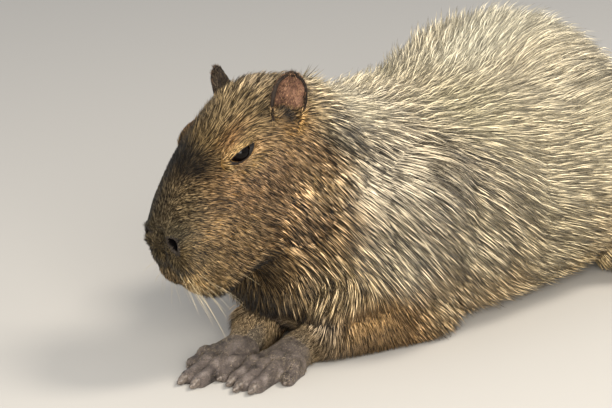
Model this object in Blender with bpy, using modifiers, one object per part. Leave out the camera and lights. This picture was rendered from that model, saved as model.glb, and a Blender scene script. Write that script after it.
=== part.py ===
# A capybara resting on its belly, life size, as a still museum model.
# Metres, +Z up. The animal faces -Y, so its left side is +X.
# The origin is on the floor under the middle of the belly.

import math
import random

import bmesh
import bpy
import numpy as np
from mathutils import Matrix, Vector
from mathutils.bvhtree import BVHTree

GAP = 0.0003  # kept between touching pieces

# Driving sizes, from the crown to the rump
HEAD_LENGTH = 0.205  # ear line to nose tip
BACK_HEIGHT = 0.325
TRUNK_HALF_WIDTH = 0.184
RUMP_SWING = 0.095  # how far the spine's end lies to the animal's right

# The head's own frame sits midway between the ear roots: x left, y back along the brow line, z up.
HEAD_PLACE = Vector((0.0, -0.326, 0.302))
HEAD_TURN = math.radians(-15)  # towards its right
HEAD_NOD = math.radians(37)  # the brow line falls this much towards the nose

EYE_RADIUS = 0.0140
EYE_PLACE = Vector((0.0405, -0.067, 0.0040))  # left eye's centre in the head's frame
EYE_SLIT = {"length": 0.034, "height": 0.0096, "tilt": math.radians(-3)}
LID_THICKNESS = 0.0028
NOSTRIL_PLACE = Vector((0.0255, -0.1905, -0.029))
EAR = {"length": 0.052, "half_width": 0.0175, "thickness": 0.0028, "cup": 0.0120}
EAR_ROOT = Vector((0.052, -0.001, -0.006))
EAR_LEAN = {1: math.radians(-38), -1: math.radians(-9)}  # back from the brow line, left and right

# The planes that part head from neck, and neck from torso
OCCIPUT, OCCIPUT_TILT = Vector((0, -0.290, 0.320)), math.radians(12)
SHOULDER, SHOULDER_TILT = Vector((0, -0.175, 0.300)), math.radians(-20)

# Locks of the long coat: flat, tapered, shingled along its lie
LOCK = {"length": 0.098, "half_width": 0.030, "thickness": 0.0065, "tip_rise": 0.017}
LOCK_PITCH = (0.054, 0.075)  # across the lie and along it
LOCK_RINGS = ((-0.12, 0.70, -0.50), (0.32, 1.00, 0.42), (0.70, 0.76, 0.80))  # shares of length, width, rise
WEDGE = 6  # a lock's thin edge moves out this many gaps, which keeps the gap on both its faces

VOXEL = 0.006
DETAIL = {"head": 0.055, "neck": 0.012, "torso": 0.006}  # share of the fused skin's triangles that each keeps


def clear_scene():
    for item in list(bpy.data.objects):
        bpy.data.objects.remove(item, do_unlink=True)


def collection(name):
    made = bpy.data.collections.new(name)
    bpy.context.scene.collection.children.link(made)
    return made


def material(name, colour, roughness):
    made = bpy.data.materials.new(name)
    made.use_nodes = True
    shader = made.node_tree.nodes["Principled BSDF"]
    shader.inputs["Base Color"].default_value = (*colour, 1.0)
    shader.inputs["Roughness"].default_value = roughness
    shader.inputs["Metallic"].default_value = 0.0
    return made


def new_object(name, mesh_maker, group):
    """An object in the group, from a bmesh that mesh_maker fills."""
    mesh = bpy.data.meshes.new(name)
    shape = bmesh.new()
    mesh_maker(shape)
    bmesh.ops.recalc_face_normals(shape, faces=shape.faces)
    shape.to_mesh(mesh)
    shape.free()
    made = bpy.data.objects.new(name, mesh)
    group.objects.link(made)
    return made


def smooth_steps(values, per_span):
    """Catmull-Rom values through the rows of an array, per_span steps to each pair of rows."""
    rows = np.asarray(values, float)
    padded = np.vstack([2 * rows[0] - rows[1], rows, 2 * rows[-1] - rows[-2]])
    steps = []
    for i in range(1, len(padded) - 2):
        a, b, c, d = padded[i - 1 : i + 3]
        for k in range(per_span):
            t = k / per_span
            steps.append(
                0.5 * (2 * b + (c - a) * t + (2 * a - 5 * b + 4 * c - d) * t**2
                       + (3 * b - a - 3 * c + d) * t**3)
            )
    steps.append(padded[-2])
    return np.array(steps)


def ring_points(centre, side, up, half_width, rise, drop, power, sides):
    """A closed superellipse, with its own reach above and below the centre."""
    points = []
    for k in range(sides):
        angle = 2 * math.pi * k / sides
        c, s = math.cos(angle), math.sin(angle)
        across = half_width * math.copysign(abs(c) ** (2 / power), c)
        reach = rise if s > 0 else drop
        points.append(centre + side * across + up * reach * math.copysign(abs(s) ** (2 / power), s))
    return points


def loft(name, stations, group, frame=None, axis=None, sides=24, per_span=4, caps=(0.02, 0.02), grow=0.0, dome=(30, 58, 78)):
    """A closed body through stations (x, y, z, half width, rise, drop, power), with domed ends.

    Rings stand square to axis, or to the line of the centres if it is None."""
    rows = smooth_steps(stations, per_span)
    centres = [Vector(row[:3]) for row in rows]
    rings = []
    for i, row in enumerate(rows):
        ahead, behind = centres[min(i + 1, len(rows) - 1)], centres[max(i - 1, 0)]
        along = Vector(axis) if axis else (ahead - behind).normalized()
        side = Vector((0, 0, 1)).cross(along).normalized()
        rings.append((centres[i], along, side, along.cross(side), row[3:]))

    def domed(end, outward, depth):
        centre, along, side, up, sizes = end
        made = []
        for degrees in dome:
            turn = math.radians(degrees)
            moved = centre + along * outward * depth * math.sin(turn)
            made.append((moved, along, side, up, [*(sizes[:3] * math.cos(turn)), sizes[3]]))
        return made

    start, end = domed(rings[0], -1, caps[0]), domed(rings[-1], 1, caps[1])
    tips = [rings[0][0] - rings[0][1] * (caps[0] + grow), rings[-1][0] + rings[-1][1] * (caps[1] + grow)]
    whole = start[::-1] + rings + end
    place = frame or Matrix.Identity(4)

    def fill(shape):
        levels = []
        for centre, _, side, up, (half_width, rise, drop, power) in whole:
            points = ring_points(centre, side, up, half_width + grow, rise + grow, drop + grow, power, sides)
            levels.append([shape.verts.new(place @ p) for p in points])
        for low, high in zip(levels, levels[1:]):
            for k in range(sides):
                m = (k + 1) % sides  # the grown shape splits its quads alike
                shape.faces.new((low[k], low[m], high[m]))
                shape.faces.new((low[k], high[m], high[k]))
        for level, tip in ((levels[0], tips[0]), (levels[-1], tips[1])):
            point = shape.verts.new(place @ tip)
            for k in range(sides):
                shape.faces.new((level[k], level[(k + 1) % sides], point))

    return new_object(name, fill, group)


def ball(name, centre, radii, group, frame=None, turn=None, detail=(20, 12), grow=0.0):
    """An ellipsoid."""
    place = (frame or Matrix.Identity(4)) @ Matrix.Translation(centre)
    if turn:
        place = place @ turn
    place = place @ Matrix.Diagonal((*[r + grow for r in radii], 1.0))

    def fill(shape):
        bmesh.ops.create_uvsphere(shape, u_segments=detail[0], v_segments=detail[1], radius=1.0, matrix=place)

    return new_object(name, fill, group)


def block(name, low, high, group, frame=None):
    """A box between two corners of a frame."""
    low, high = Vector(low), Vector(high)
    size = Matrix.Diagonal((*(high - low), 1.0))
    place = (frame or Matrix.Identity(4)) @ Matrix.Translation((low + high) / 2) @ size

    def fill(shape):
        bmesh.ops.create_cube(shape, size=1.0, matrix=place)

    return new_object(name, fill, group)


def grown(source, distance, group):
    """A copy whose every face lies distance further out."""
    made = bpy.data.objects.new(source.name + "_grown", source.data.copy())
    group.objects.link(made)
    shape = bmesh.new()
    shape.from_mesh(made.data)
    shape.normal_update()
    moves = [v.normal * v.calc_shell_factor() * distance for v in shape.verts]
    for vertex, move in zip(shape.verts, moves):
        vertex.co += move
    shape.to_mesh(made.data)
    shape.free()
    return made


def apply_all(item):
    """Turns an object's modifiers into its mesh."""
    graph = bpy.context.evaluated_depsgraph_get()
    mesh = bpy.data.meshes.new_from_object(item.evaluated_get(graph))
    item.modifiers.clear()
    item.data = mesh
    return item


def boolean(item, operation, other, solver="MANIFOLD"):
    """Applies one Boolean with an object, or with a list of objects that are used up."""
    modifier = item.modifiers.new(operation.lower(), "BOOLEAN")
    modifier.operation, modifier.solver = operation, solver
    if isinstance(other, list):
        group = collection("joining")
        for piece in other:
            for old in list(piece.users_collection):
                old.objects.unlink(piece)
            group.objects.link(piece)
        modifier.operand_type, modifier.collection = "COLLECTION", group
        apply_all(item)
        for piece in other:
            bpy.data.objects.remove(piece, do_unlink=True)
        bpy.data.collections.remove(group)
        return item
    modifier.object = other
    return apply_all(item)


def keep_largest(item):
    """Leaves the closed surface that has the most volume, and drops scraps and inner hollows."""
    shape = bmesh.new()
    shape.from_mesh(item.data)
    shape.verts.ensure_lookup_table()
    unseen = set(range(len(shape.verts)))
    islands = []
    while unseen:
        stack, island = [unseen.pop()], []
        while stack:
            index = stack.pop()
            island.append(index)
            for edge in shape.verts[index].link_edges:
                other = edge.other_vert(shape.verts[index]).index
                if other in unseen:
                    unseen.discard(other)
                    stack.append(other)
        islands.append(island)

    def size(island):
        points = np.array([shape.verts[i].co for i in island])
        return float(np.prod(points.max(0) - points.min(0) + 1e-6))

    islands.sort(key=size, reverse=True)
    doomed = [shape.verts[i] for island in islands[1:] for i in island]
    bmesh.ops.delete(shape, geom=doomed, context="VERTS")
    shape.to_mesh(item.data)
    shape.free()
    return item


def decimated(item, ratio):
    """The item with that share of its triangles."""
    modifier = item.modifiers.new("fewer", "DECIMATE")
    modifier.ratio = ratio
    return apply_all(item)


def fused(name, pieces, group, voxel, passes):
    """Overlapping bodies as one smooth closed skin."""
    first = bpy.data.objects.new(name, pieces[0].data.copy())
    group.objects.link(first)
    shape = bmesh.new()
    for piece in pieces:
        shape.from_mesh(piece.data)
    shape.to_mesh(first.data)
    shape.free()
    for piece in pieces:
        bpy.data.objects.remove(piece, do_unlink=True)
    remesh = first.modifiers.new("voxels", "REMESH")
    remesh.mode, remesh.voxel_size = "VOXEL", voxel
    smooth = first.modifiers.new("smooth", "SMOOTH")
    smooth.factor, smooth.iterations = 0.5, passes
    return apply_all(first)


def surface_of(item):
    """A tree that finds the nearest point of an object's surface."""
    shape = bmesh.new()
    shape.from_mesh(item.data)
    tree = BVHTree.FromBMesh(shape)
    shape.free()
    return tree


def coat_lie(point, normal):
    """The way the long coat lies: back along the body, steeply down on neck and shoulder."""
    fall = 0.22 + 0.50 * max(0.0, min(1.0, (0.05 - point.y) / 0.30))
    lie = Vector((0, 1, -fall * min(1.0, abs(normal.x) * 1.3)))
    lie -= normal * lie.dot(normal)
    return lie.normalized()


class Lock:
    """One lock, laid over a surface from its root, with its tip standing proud."""

    def __init__(self, surface, root, draw, scale=1.0):
        self.surface = surface
        self.root, self.normal = surface.find_nearest(root)[:2]
        self.lie = coat_lie(self.root, self.normal)
        self.lie.rotate(Matrix.Rotation(draw.uniform(-0.13, 0.13), 3, self.normal))
        self.length = LOCK["length"] * scale * draw.uniform(0.88, 1.12)
        self.half_width = LOCK["half_width"] * draw.uniform(0.90, 1.10)
        self.rise = LOCK["tip_rise"] * draw.uniform(0.85, 1.15)

    def rings(self, grow=0.0):
        thick = LOCK["thickness"] / 2
        made = []
        for share, wide, lift in LOCK_RINGS:
            at, normal = self.surface.find_nearest(self.root + self.lie * self.length * share)[:2]
            side = normal.cross(self.lie).normalized()
            centre = at + normal * lift * self.rise
            edges = []
            for sign in (-1, 1):
                reach = side * sign * self.half_width * wide
                edge, out = self.surface.find_nearest(at + reach)[:2]
                edge = edge + out * (lift * self.rise - thick * 0.9)
                edges.append(edge + (edge - centre).normalized() * grow * WEDGE)
            top, under = centre + normal * (thick + 3 * grow), centre - normal * (thick + 3 * grow)
            made.append([edges[0], top, edges[1], under])
        for point in made[0]:
            point -= self.lie * grow
        at, normal = self.surface.find_nearest(self.root + self.lie * self.length)[:2]
        tip = at + normal * self.rise
        return made, tip + (tip - centre).normalized() * grow * WEDGE

    def object(self, group, grow=0.0):
        rings, tip = self.rings(grow)

        def fill(shape):
            levels = [[shape.verts.new(p) for p in ring] for ring in rings]
            point = shape.verts.new(tip)
            for low, high in zip(levels, levels[1:]):
                for k in range(4):
                    m = (k + 1) % 4
                    if k % 2:  # both faces of the lock split alike
                        shape.faces.new((low[k], low[m], high[m]))
                        shape.faces.new((low[k], high[m], high[k]))
                    else:
                        shape.faces.new((low[k], low[m], high[k]))
                        shape.faces.new((low[m], high[m], high[k]))
            root = levels[0]
            shape.faces.new((root[0], root[1], root[2]))
            shape.faces.new((root[0], root[2], root[3]))
            for k in range(4):
                shape.faces.new((levels[-1][k], levels[-1][(k + 1) % 4], point))

        return new_object("lock", fill, group)


def section_roots(surface, centre_of, y, slant, lowest, offset):
    """Points a pitch apart along a slice of a surface, from low on one side over to the other."""
    hits = []
    for degrees in range(-140, 141, 2):
        angle = math.radians(degrees)
        out = Vector((math.sin(angle), 0, math.cos(angle)))
        hit = None
        for _ in range(3):
            at_y = y if hit is None else y + slant(hit.z)
            hit, _, _, _ = surface.ray_cast(centre_of(at_y) + out, -out)
            if hit is None:
                break
        if hit is not None and hit.z > lowest:
            hits.append(hit)
    roots, run = [], -offset
    for low, high in zip(hits, hits[1:]):
        run += (high - low).length
        if run >= 0:
            roots.append(high)
            run -= LOCK_PITCH[0]
    return roots


def mirrored_name(name, side):
    return name + ("_left" if side > 0 else "_right")


def head_frame():
    turn = Matrix.Rotation(HEAD_TURN, 4, "Z") @ Matrix.Rotation(HEAD_NOD, 4, "X")
    return Matrix.Translation(HEAD_PLACE) @ turn


def spine_x(y):
    """The spine's sideways place at y: straight from the neck to the loin, then curving right."""
    return -RUMP_SWING * (max(0.0, y - 0.10) / 0.31) ** 2


def trunk_stations():
    """Chest to rump: x, y, z of the widest level, half width, rise, drop, power."""
    h, w = BACK_HEIGHT, TRUNK_HALF_WIDTH
    rows = (
        # y, widest level, half width, top, bottom, power
        (-0.315, 0.125, 0.42 * w, 0.62 * h, 0.050, 2.0),
        (-0.270, 0.130, 0.62 * w, 0.78 * h, 0.012, 2.1),
        (-0.190, 0.130, 0.78 * w, 0.850 * h, -0.014, 2.2),
        (-0.080, 0.132, 0.90 * w, 0.835 * h, -0.020, 2.3),
        (0.020, 0.130, 0.97 * w, 0.855 * h, -0.022, 2.2),
        (0.120, 0.130, 1.00 * w, 0.955 * h, -0.022, 2.2),
        (0.205, 0.126, 0.99 * w, 0.938 * h, -0.022, 1.95),
        (0.290, 0.106, 0.89 * w, 0.785 * h, -0.020, 1.95),
        (0.355, 0.096, 0.80 * w, 0.670 * h, -0.014, 2.1),
        (0.410, 0.082, 0.64 * w, 0.500 * h, -0.002, 2.0),
    )
    return [(spine_x(y), y, z, half, top - z, z - bottom, power) for y, z, half, top, bottom, power in rows]


def head_stations():
    """Nape to nose in the head's frame, scaled to the head's length."""
    s = HEAD_LENGTH / 0.205
    rows = (
        # y, widest level, half width, top, bottom, power
        (0.060, -0.070, 0.060, 0.002, -0.140, 2.1),
        (0.020, -0.066, 0.065, 0.021, -0.150, 2.3),
        (-0.020, -0.065, 0.066, 0.028, -0.150, 2.4),
        (-0.060, -0.064, 0.062, 0.027, -0.146, 2.5),
        (-0.100, -0.061, 0.054, 0.021, -0.140, 2.6),
        (-0.140, -0.058, 0.047, 0.012, -0.134, 2.6),
        (-0.168, -0.056, 0.043, 0.001, -0.126, 2.7),
        (-0.184, -0.057, 0.040, -0.011, -0.114, 2.7),
    )
    return [
        (0, y * s, z * s, half * s, (top - z) * s, (z - bottom) * s, power)
        for y, z, half, top, bottom, power in rows
    ]


def body_core(group):
    """Trunk, neck and head as one skin, with shoulders, haunch roots, brows, cheeks and lips."""
    head = head_frame()
    pieces = [
        loft("trunk", trunk_stations(), group, axis=(0, 1, 0), sides=32, caps=(0.035, 0.05)),
        loft("skull", head_stations(), group, frame=head, axis=(0, 1, 0), sides=32, caps=(0.03, 0.016)),
        loft(
            "nape",
            [
                (0.003, -0.290, 0.225, 0.070, 0.088, 0.100, 2.1),
                (0.002, -0.240, 0.210, 0.090, 0.092, 0.120, 2.1),
                (0.000, -0.180, 0.185, 0.118, 0.106, 0.130, 2.1),
                (0.000, -0.110, 0.165, 0.138, 0.116, 0.130, 2.2),
            ],
            group,
            axis=(0, 1, 0),
        ),
    ]
    for side in (1, -1):
        shapes = (
            # centre, radii in the head's frame
            ((0.036, -0.066, 0.009), (0.016, 0.028, 0.013)),  # brow
            ((0.040, -0.045, -0.100), (0.030, 0.050, 0.046)),  # cheek
            ((0.030, 0.000, -0.110), (0.038, 0.045, 0.045)),  # jaw corner
            ((0.019, -0.180, -0.078), (0.024, 0.026, 0.032)),  # upper lip
            ((0.021, -0.176, -0.036), (0.021, 0.021, 0.022)),  # nose wing
        )
        for centre, radii in shapes:
            place = Vector((centre[0] * side, centre[1], centre[2]))
            pieces.append(ball("lump", place, radii, group, frame=head))
        pieces.append(ball("shoulder", (0.094 * side, -0.170, 0.138), (0.068, 0.095, 0.112), group))
        pieces.append(ball("upper_arm", (0.092 * side, -0.165, 0.070), (0.052, 0.080, 0.075), group))
    pieces.append(ball("chin", (0, -0.158, -0.117), (0.028, 0.032, 0.020), group, frame=head))
    pieces.append(ball("brisket", (0.006, -0.256, 0.088), (0.074, 0.066, 0.072), group))
    return fused("core", pieces, group, VOXEL, 10)


def foreleg(name, joints, group, tools):
    """A forearm and its wrist, as one tapered solid from inside the chest."""
    elbow, wrist = Vector(joints["elbow"]), Vector(joints["wrist"])
    middle = elbow.lerp(wrist, 0.5)
    back = elbow + (elbow - wrist) * 0.18
    stations = [
        (*back, 0.030, 0.030, 0.030, 2.2),
        (*elbow, 0.033, 0.034, 0.038, 2.2),
        (*middle, 0.031, 0.031, 0.034, 2.2),
        (*wrist.lerp(middle, 0.22), 0.0215, 0.0215, 0.025, 2.3),
        (*wrist, 0.021, 0.018, 0.023, 2.4),
    ]
    build = {"sides": 12, "per_span": 1, "caps": (0.02, 0.010), "dome": (40,)}
    made = loft(name, stations, group, **build)
    cutter = loft(name + "_cutter", stations, tools, grow=GAP, **build)
    return made, cutter


def foot(name, heel, toe_ends, palm, digit, group, tools):
    """A foot: a low palm, its digits, and a blunt hoof-like claw on each digit.

    Returns the foot, its claws, and the foot's shape grown by the gap, to cut its neighbours with."""
    heel = Vector(heel)
    ends = [Vector(p) for p in toe_ends]
    middle = sum(ends, Vector()) / len(ends)
    forward = (middle - heel).normalized()
    across = Vector((0, 0, 1)).cross(forward).normalized()
    knuckle = heel.lerp(middle, palm["share"])
    widths, rises = palm["half_width"], palm["rise"]
    sole = [
        (*heel, widths[0], rises[0], 0.022, 2.3),
        (*heel.lerp(knuckle, 0.5), widths[1], rises[1], 0.022, 2.4),
        (*knuckle, widths[2], rises[2], 0.020, 2.4),
    ]
    digits, claws = [], []
    half, rise, claw = digit["half_width"], digit["rise"], digit["claw"]
    spread = widths[2] - half * 0.75
    for k, tip in enumerate(ends):
        share = k / (len(ends) - 1) * 2 - 1
        root = knuckle - forward * 0.012 + across * spread * share
        run, along = tip - root, (tip - root).normalized()
        bend = root + run * 0.45 + Vector((0, 0, 0.003))
        digits.append(
            [
                (*root, half, rise, 0.018, 2.2),
                (*bend, half, rise, 0.017, 2.2),
                (*(root + run * 0.82), half * 0.86, rise * 0.72, 0.014, 2.2),
            ]
        )
        claws.append(
            [
                (*(tip - along * claw * 0.95), half * 0.62, rise * 0.42, 0.006, 2.2),
                (*(tip - along * claw * 0.35), half * 0.50, rise * 0.34, 0.006, 2.2),
                (*tip, half * 0.26, rise * 0.16, 0.004, 2.0),
            ]
        )

    def made(label, stations, grow, place, sides, span, caps, dome):
        return loft(label, stations, place, sides=sides, per_span=span, caps=caps, dome=dome, grow=grow)

    shapes = []
    for label, grow, place in ((name, 0.0, group), (name + "_cutter", GAP, tools)):
        shape = made(label, sole, grow, place, 12, 1, (0.014, 0.014), (35, 65))
        toes = [made("digit", run, grow, tools, 6, 1, (0.008, 0.007), (40,)) for run in digits]
        shapes.append(boolean(shape, "UNION", toes))
    solid, cutter = shapes
    made_claws = []
    for k, run in enumerate(claws):
        claw_name = f"claw_{name}_{k + 1}"
        made_claws.append(made(claw_name, run, 0.0, group, 6, 1, (0.003, 0.004), (45,)))
        wider = made("claw_cutter", run, GAP, tools, 6, 1, (0.003, 0.004), (45,))
        boolean(solid, "DIFFERENCE", wider)
        bpy.data.objects.remove(wider, do_unlink=True)
    return solid, made_claws, cutter


def haunch(name, side, group, tools):
    """The folded thigh and shank, a broad flat-sided egg against the flank."""
    rows = (
        # y, out from the spine, widest level, half width, rise, drop
        (0.130, 0.127, 0.110, 0.060, 0.072, 0.075),
        (0.170, 0.133, 0.118, 0.078, 0.098, 0.110),
        (0.235, 0.135, 0.118, 0.084, 0.112, 0.122),
        (0.300, 0.130, 0.108, 0.078, 0.098, 0.112),
        (0.355, 0.117, 0.094, 0.064, 0.072, 0.092),
    )
    stations = [
        (spine_x(y) + out * side, y, z, half, rise, drop, 2.2) for y, out, z, half, rise, drop in rows
    ]
    build = {"axis": (0, 1, 0), "sides": 16, "per_span": 1, "caps": (0.045, 0.040), "dome": (30, 62)}
    made = loft(name, stations, group, **build)
    cutter = loft(name + "_cutter", stations, tools, grow=GAP, **build)
    return made, cutter


def ear(name, side, group):
    """A cupped ear on the side of the crown, its opening turned out, its front margin rolled over."""
    lean = Matrix.Rotation(EAR_LEAN[side], 4, "X") @ Matrix.Rotation(math.radians(11 * side), 4, "Y")
    turn = Matrix.Rotation(math.radians(62 * side), 4, "Z")
    root = Vector((EAR_ROOT.x * side, EAR_ROOT.y, EAR_ROOT.z))
    place = head_frame() @ Matrix.Translation(root) @ lean @ turn
    rows, columns, sink = 8, 7, 0.014

    def fill(shape):
        grid = []
        for i in range(rows):
            t = math.sin(math.pi / 2 * i / (rows - 1))
            height = -sink + (EAR["length"] + sink) * t
            oval = (0.66 + 0.34 * math.sin(math.pi * min(1, t / 0.7) / 2)) * math.sqrt(max(0.30, 1 - t**7))
            width, depth = EAR["half_width"] * oval, EAR["cup"] * (1 - 0.62 * t) * oval
            line = []
            for k in range(columns + 1):
                angle = math.radians(-108 + 190 * k / columns)  # the front margin comes first
                x, y = width * math.sin(angle) * side, depth * math.cos(angle)
                rise = -0.006 * t**3 * math.sin(angle) ** 2
                line.append(shape.verts.new(place @ Vector((x, y - depth * 0.3 + 0.004 * t, height + rise))))
            grid.append(line)
        for low, high in zip(grid, grid[1:]):
            for k in range(columns):
                shape.faces.new((low[k], low[k + 1], high[k + 1], high[k]))

    made = new_object(name, fill, group)
    shell = made.modifiers.new("thickness", "SOLIDIFY")
    shell.thickness, shell.offset = EAR["thickness"], 0.0
    return apply_all(made)


def torso_locks(body, thighs):
    """Rows of locks from the shoulder to the rump, over the back from one flank to the other."""
    draw = random.Random(7)
    locks = []
    for row in range(9):
        lean = math.tan(math.radians(20)) * max(0.0, 1 - row / 3)  # the first rows follow the shoulder's plane
        roots = section_roots(
            body,
            lambda y: Vector((spine_x(y), y, 0.12)),
            SHOULDER.y + 0.016 + LOCK_PITCH[1] * row,
            lambda z: (z - SHOULDER.z) * lean,
            0.050,
            LOCK_PITCH[0] * (0.25 if row % 2 else 0.75),
        )
        for root in roots:
            near = [thigh.find_nearest(root) for thigh in thighs.values()]
            if all((root - at).dot(normal) > 0.006 for at, normal, _, _ in near):
                locks.append(Lock(body, root, draw))
    return locks


def neck_locks(body):
    """One row from the nape down both sides, each lock ending short of the shoulder's plane."""
    draw = random.Random(11)
    across = Vector((0, math.cos(SHOULDER_TILT), math.sin(SHOULDER_TILT)))
    locks = []
    roots = section_roots(
        body,
        lambda y: Vector((0, y, 0.20)),
        OCCIPUT.y + 0.014,
        lambda z: (OCCIPUT.z - z) * math.tan(OCCIPUT_TILT),
        0.175,
        0.0,
    )
    for root in roots:
        lock = Lock(body, root, draw)
        room = (SHOULDER - lock.root).dot(across) / max(0.3, lock.lie.dot(across)) - 0.004
        if room > 0.045:
            fit = min(1.0, room / lock.length)
            lock.length, lock.half_width, lock.rise = lock.length * fit, lock.half_width * fit, lock.rise * fit
            locks.append(lock)
    return locks


def haunch_locks(thigh, side):
    """Rows of locks over the outer face of a folded thigh."""
    draw = random.Random(20 + side)
    locks = []
    for row in range(4):
        roots = section_roots(
            thigh,
            lambda y: Vector((spine_x(y) + 0.125 * side, y, 0.10)),
            0.115 + LOCK_PITCH[1] * row,
            lambda z: 0.0,
            0.050,
            LOCK_PITCH[0] * (0.2 if row % 2 else 0.6),
        )
        for root in roots:
            if (root.x - spine_x(root.y)) * side > 0.170:
                locks.append(Lock(thigh, root, draw, 0.9))
    return locks


def face_details(head, side, tools):
    """Lids with a slit, the nostril, all in the head's own solid. Returns nothing: the head is changed."""
    frame = head_frame()
    centre = Vector((EYE_PLACE.x * side, EYE_PLACE.y, EYE_PLACE.z))
    lids = ball("lids", centre, [EYE_RADIUS + LID_THICKNESS] * 3, tools, frame=frame, detail=(16, 10))
    boolean(head, "UNION", [lids])
    socket = ball("socket", centre, [EYE_RADIUS + GAP] * 3, tools, frame=frame, detail=(16, 10))
    boolean(head, "DIFFERENCE", socket)
    outward = Matrix.Rotation(EYE_SLIT["tilt"] * 1, 4, "X")
    slit = ball(
        "slit",
        centre + Vector((EYE_RADIUS * 0.95 * side, -0.002, -0.0008)),
        (0.0085, EYE_SLIT["length"] / 2, EYE_SLIT["height"] / 2),
        tools,
        frame=frame,
        turn=outward,
        detail=(12, 8),
    )
    boolean(head, "DIFFERENCE", slit)
    nostril = ball(
        "nostril",
        Vector((NOSTRIL_PLACE.x * side, NOSTRIL_PLACE.y - 0.006, NOSTRIL_PLACE.z)),
        (0.0065, 0.011, 0.0042),
        tools,
        frame=frame,
        turn=Matrix.Rotation(math.radians(35 * side), 4, "Y"),
        detail=(10, 6),
    )
    boolean(head, "DIFFERENCE", nostril)
    for item in (socket, slit, nostril):
        bpy.data.objects.remove(item, do_unlink=True)


def mouth_cutter(tools):
    """A thin curved wedge that opens the line of the mouth round the lips."""
    frame = head_frame()
    points = []
    for k in range(13):
        angle = math.radians(-100 + 200 * k / 12)
        x = 0.047 * math.sin(angle)
        y = -0.140 - 0.052 * math.cos(angle)
        points.append((x, y, -0.1025 - 0.0085 * math.cos(angle)))
    stations = [(*(frame @ Vector(p)), 0.0085, 0.0013, 0.0013, 2.0) for p in points]
    return loft("mouth", stations, tools, sides=8, per_span=1, caps=(0.001, 0.001))


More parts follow.
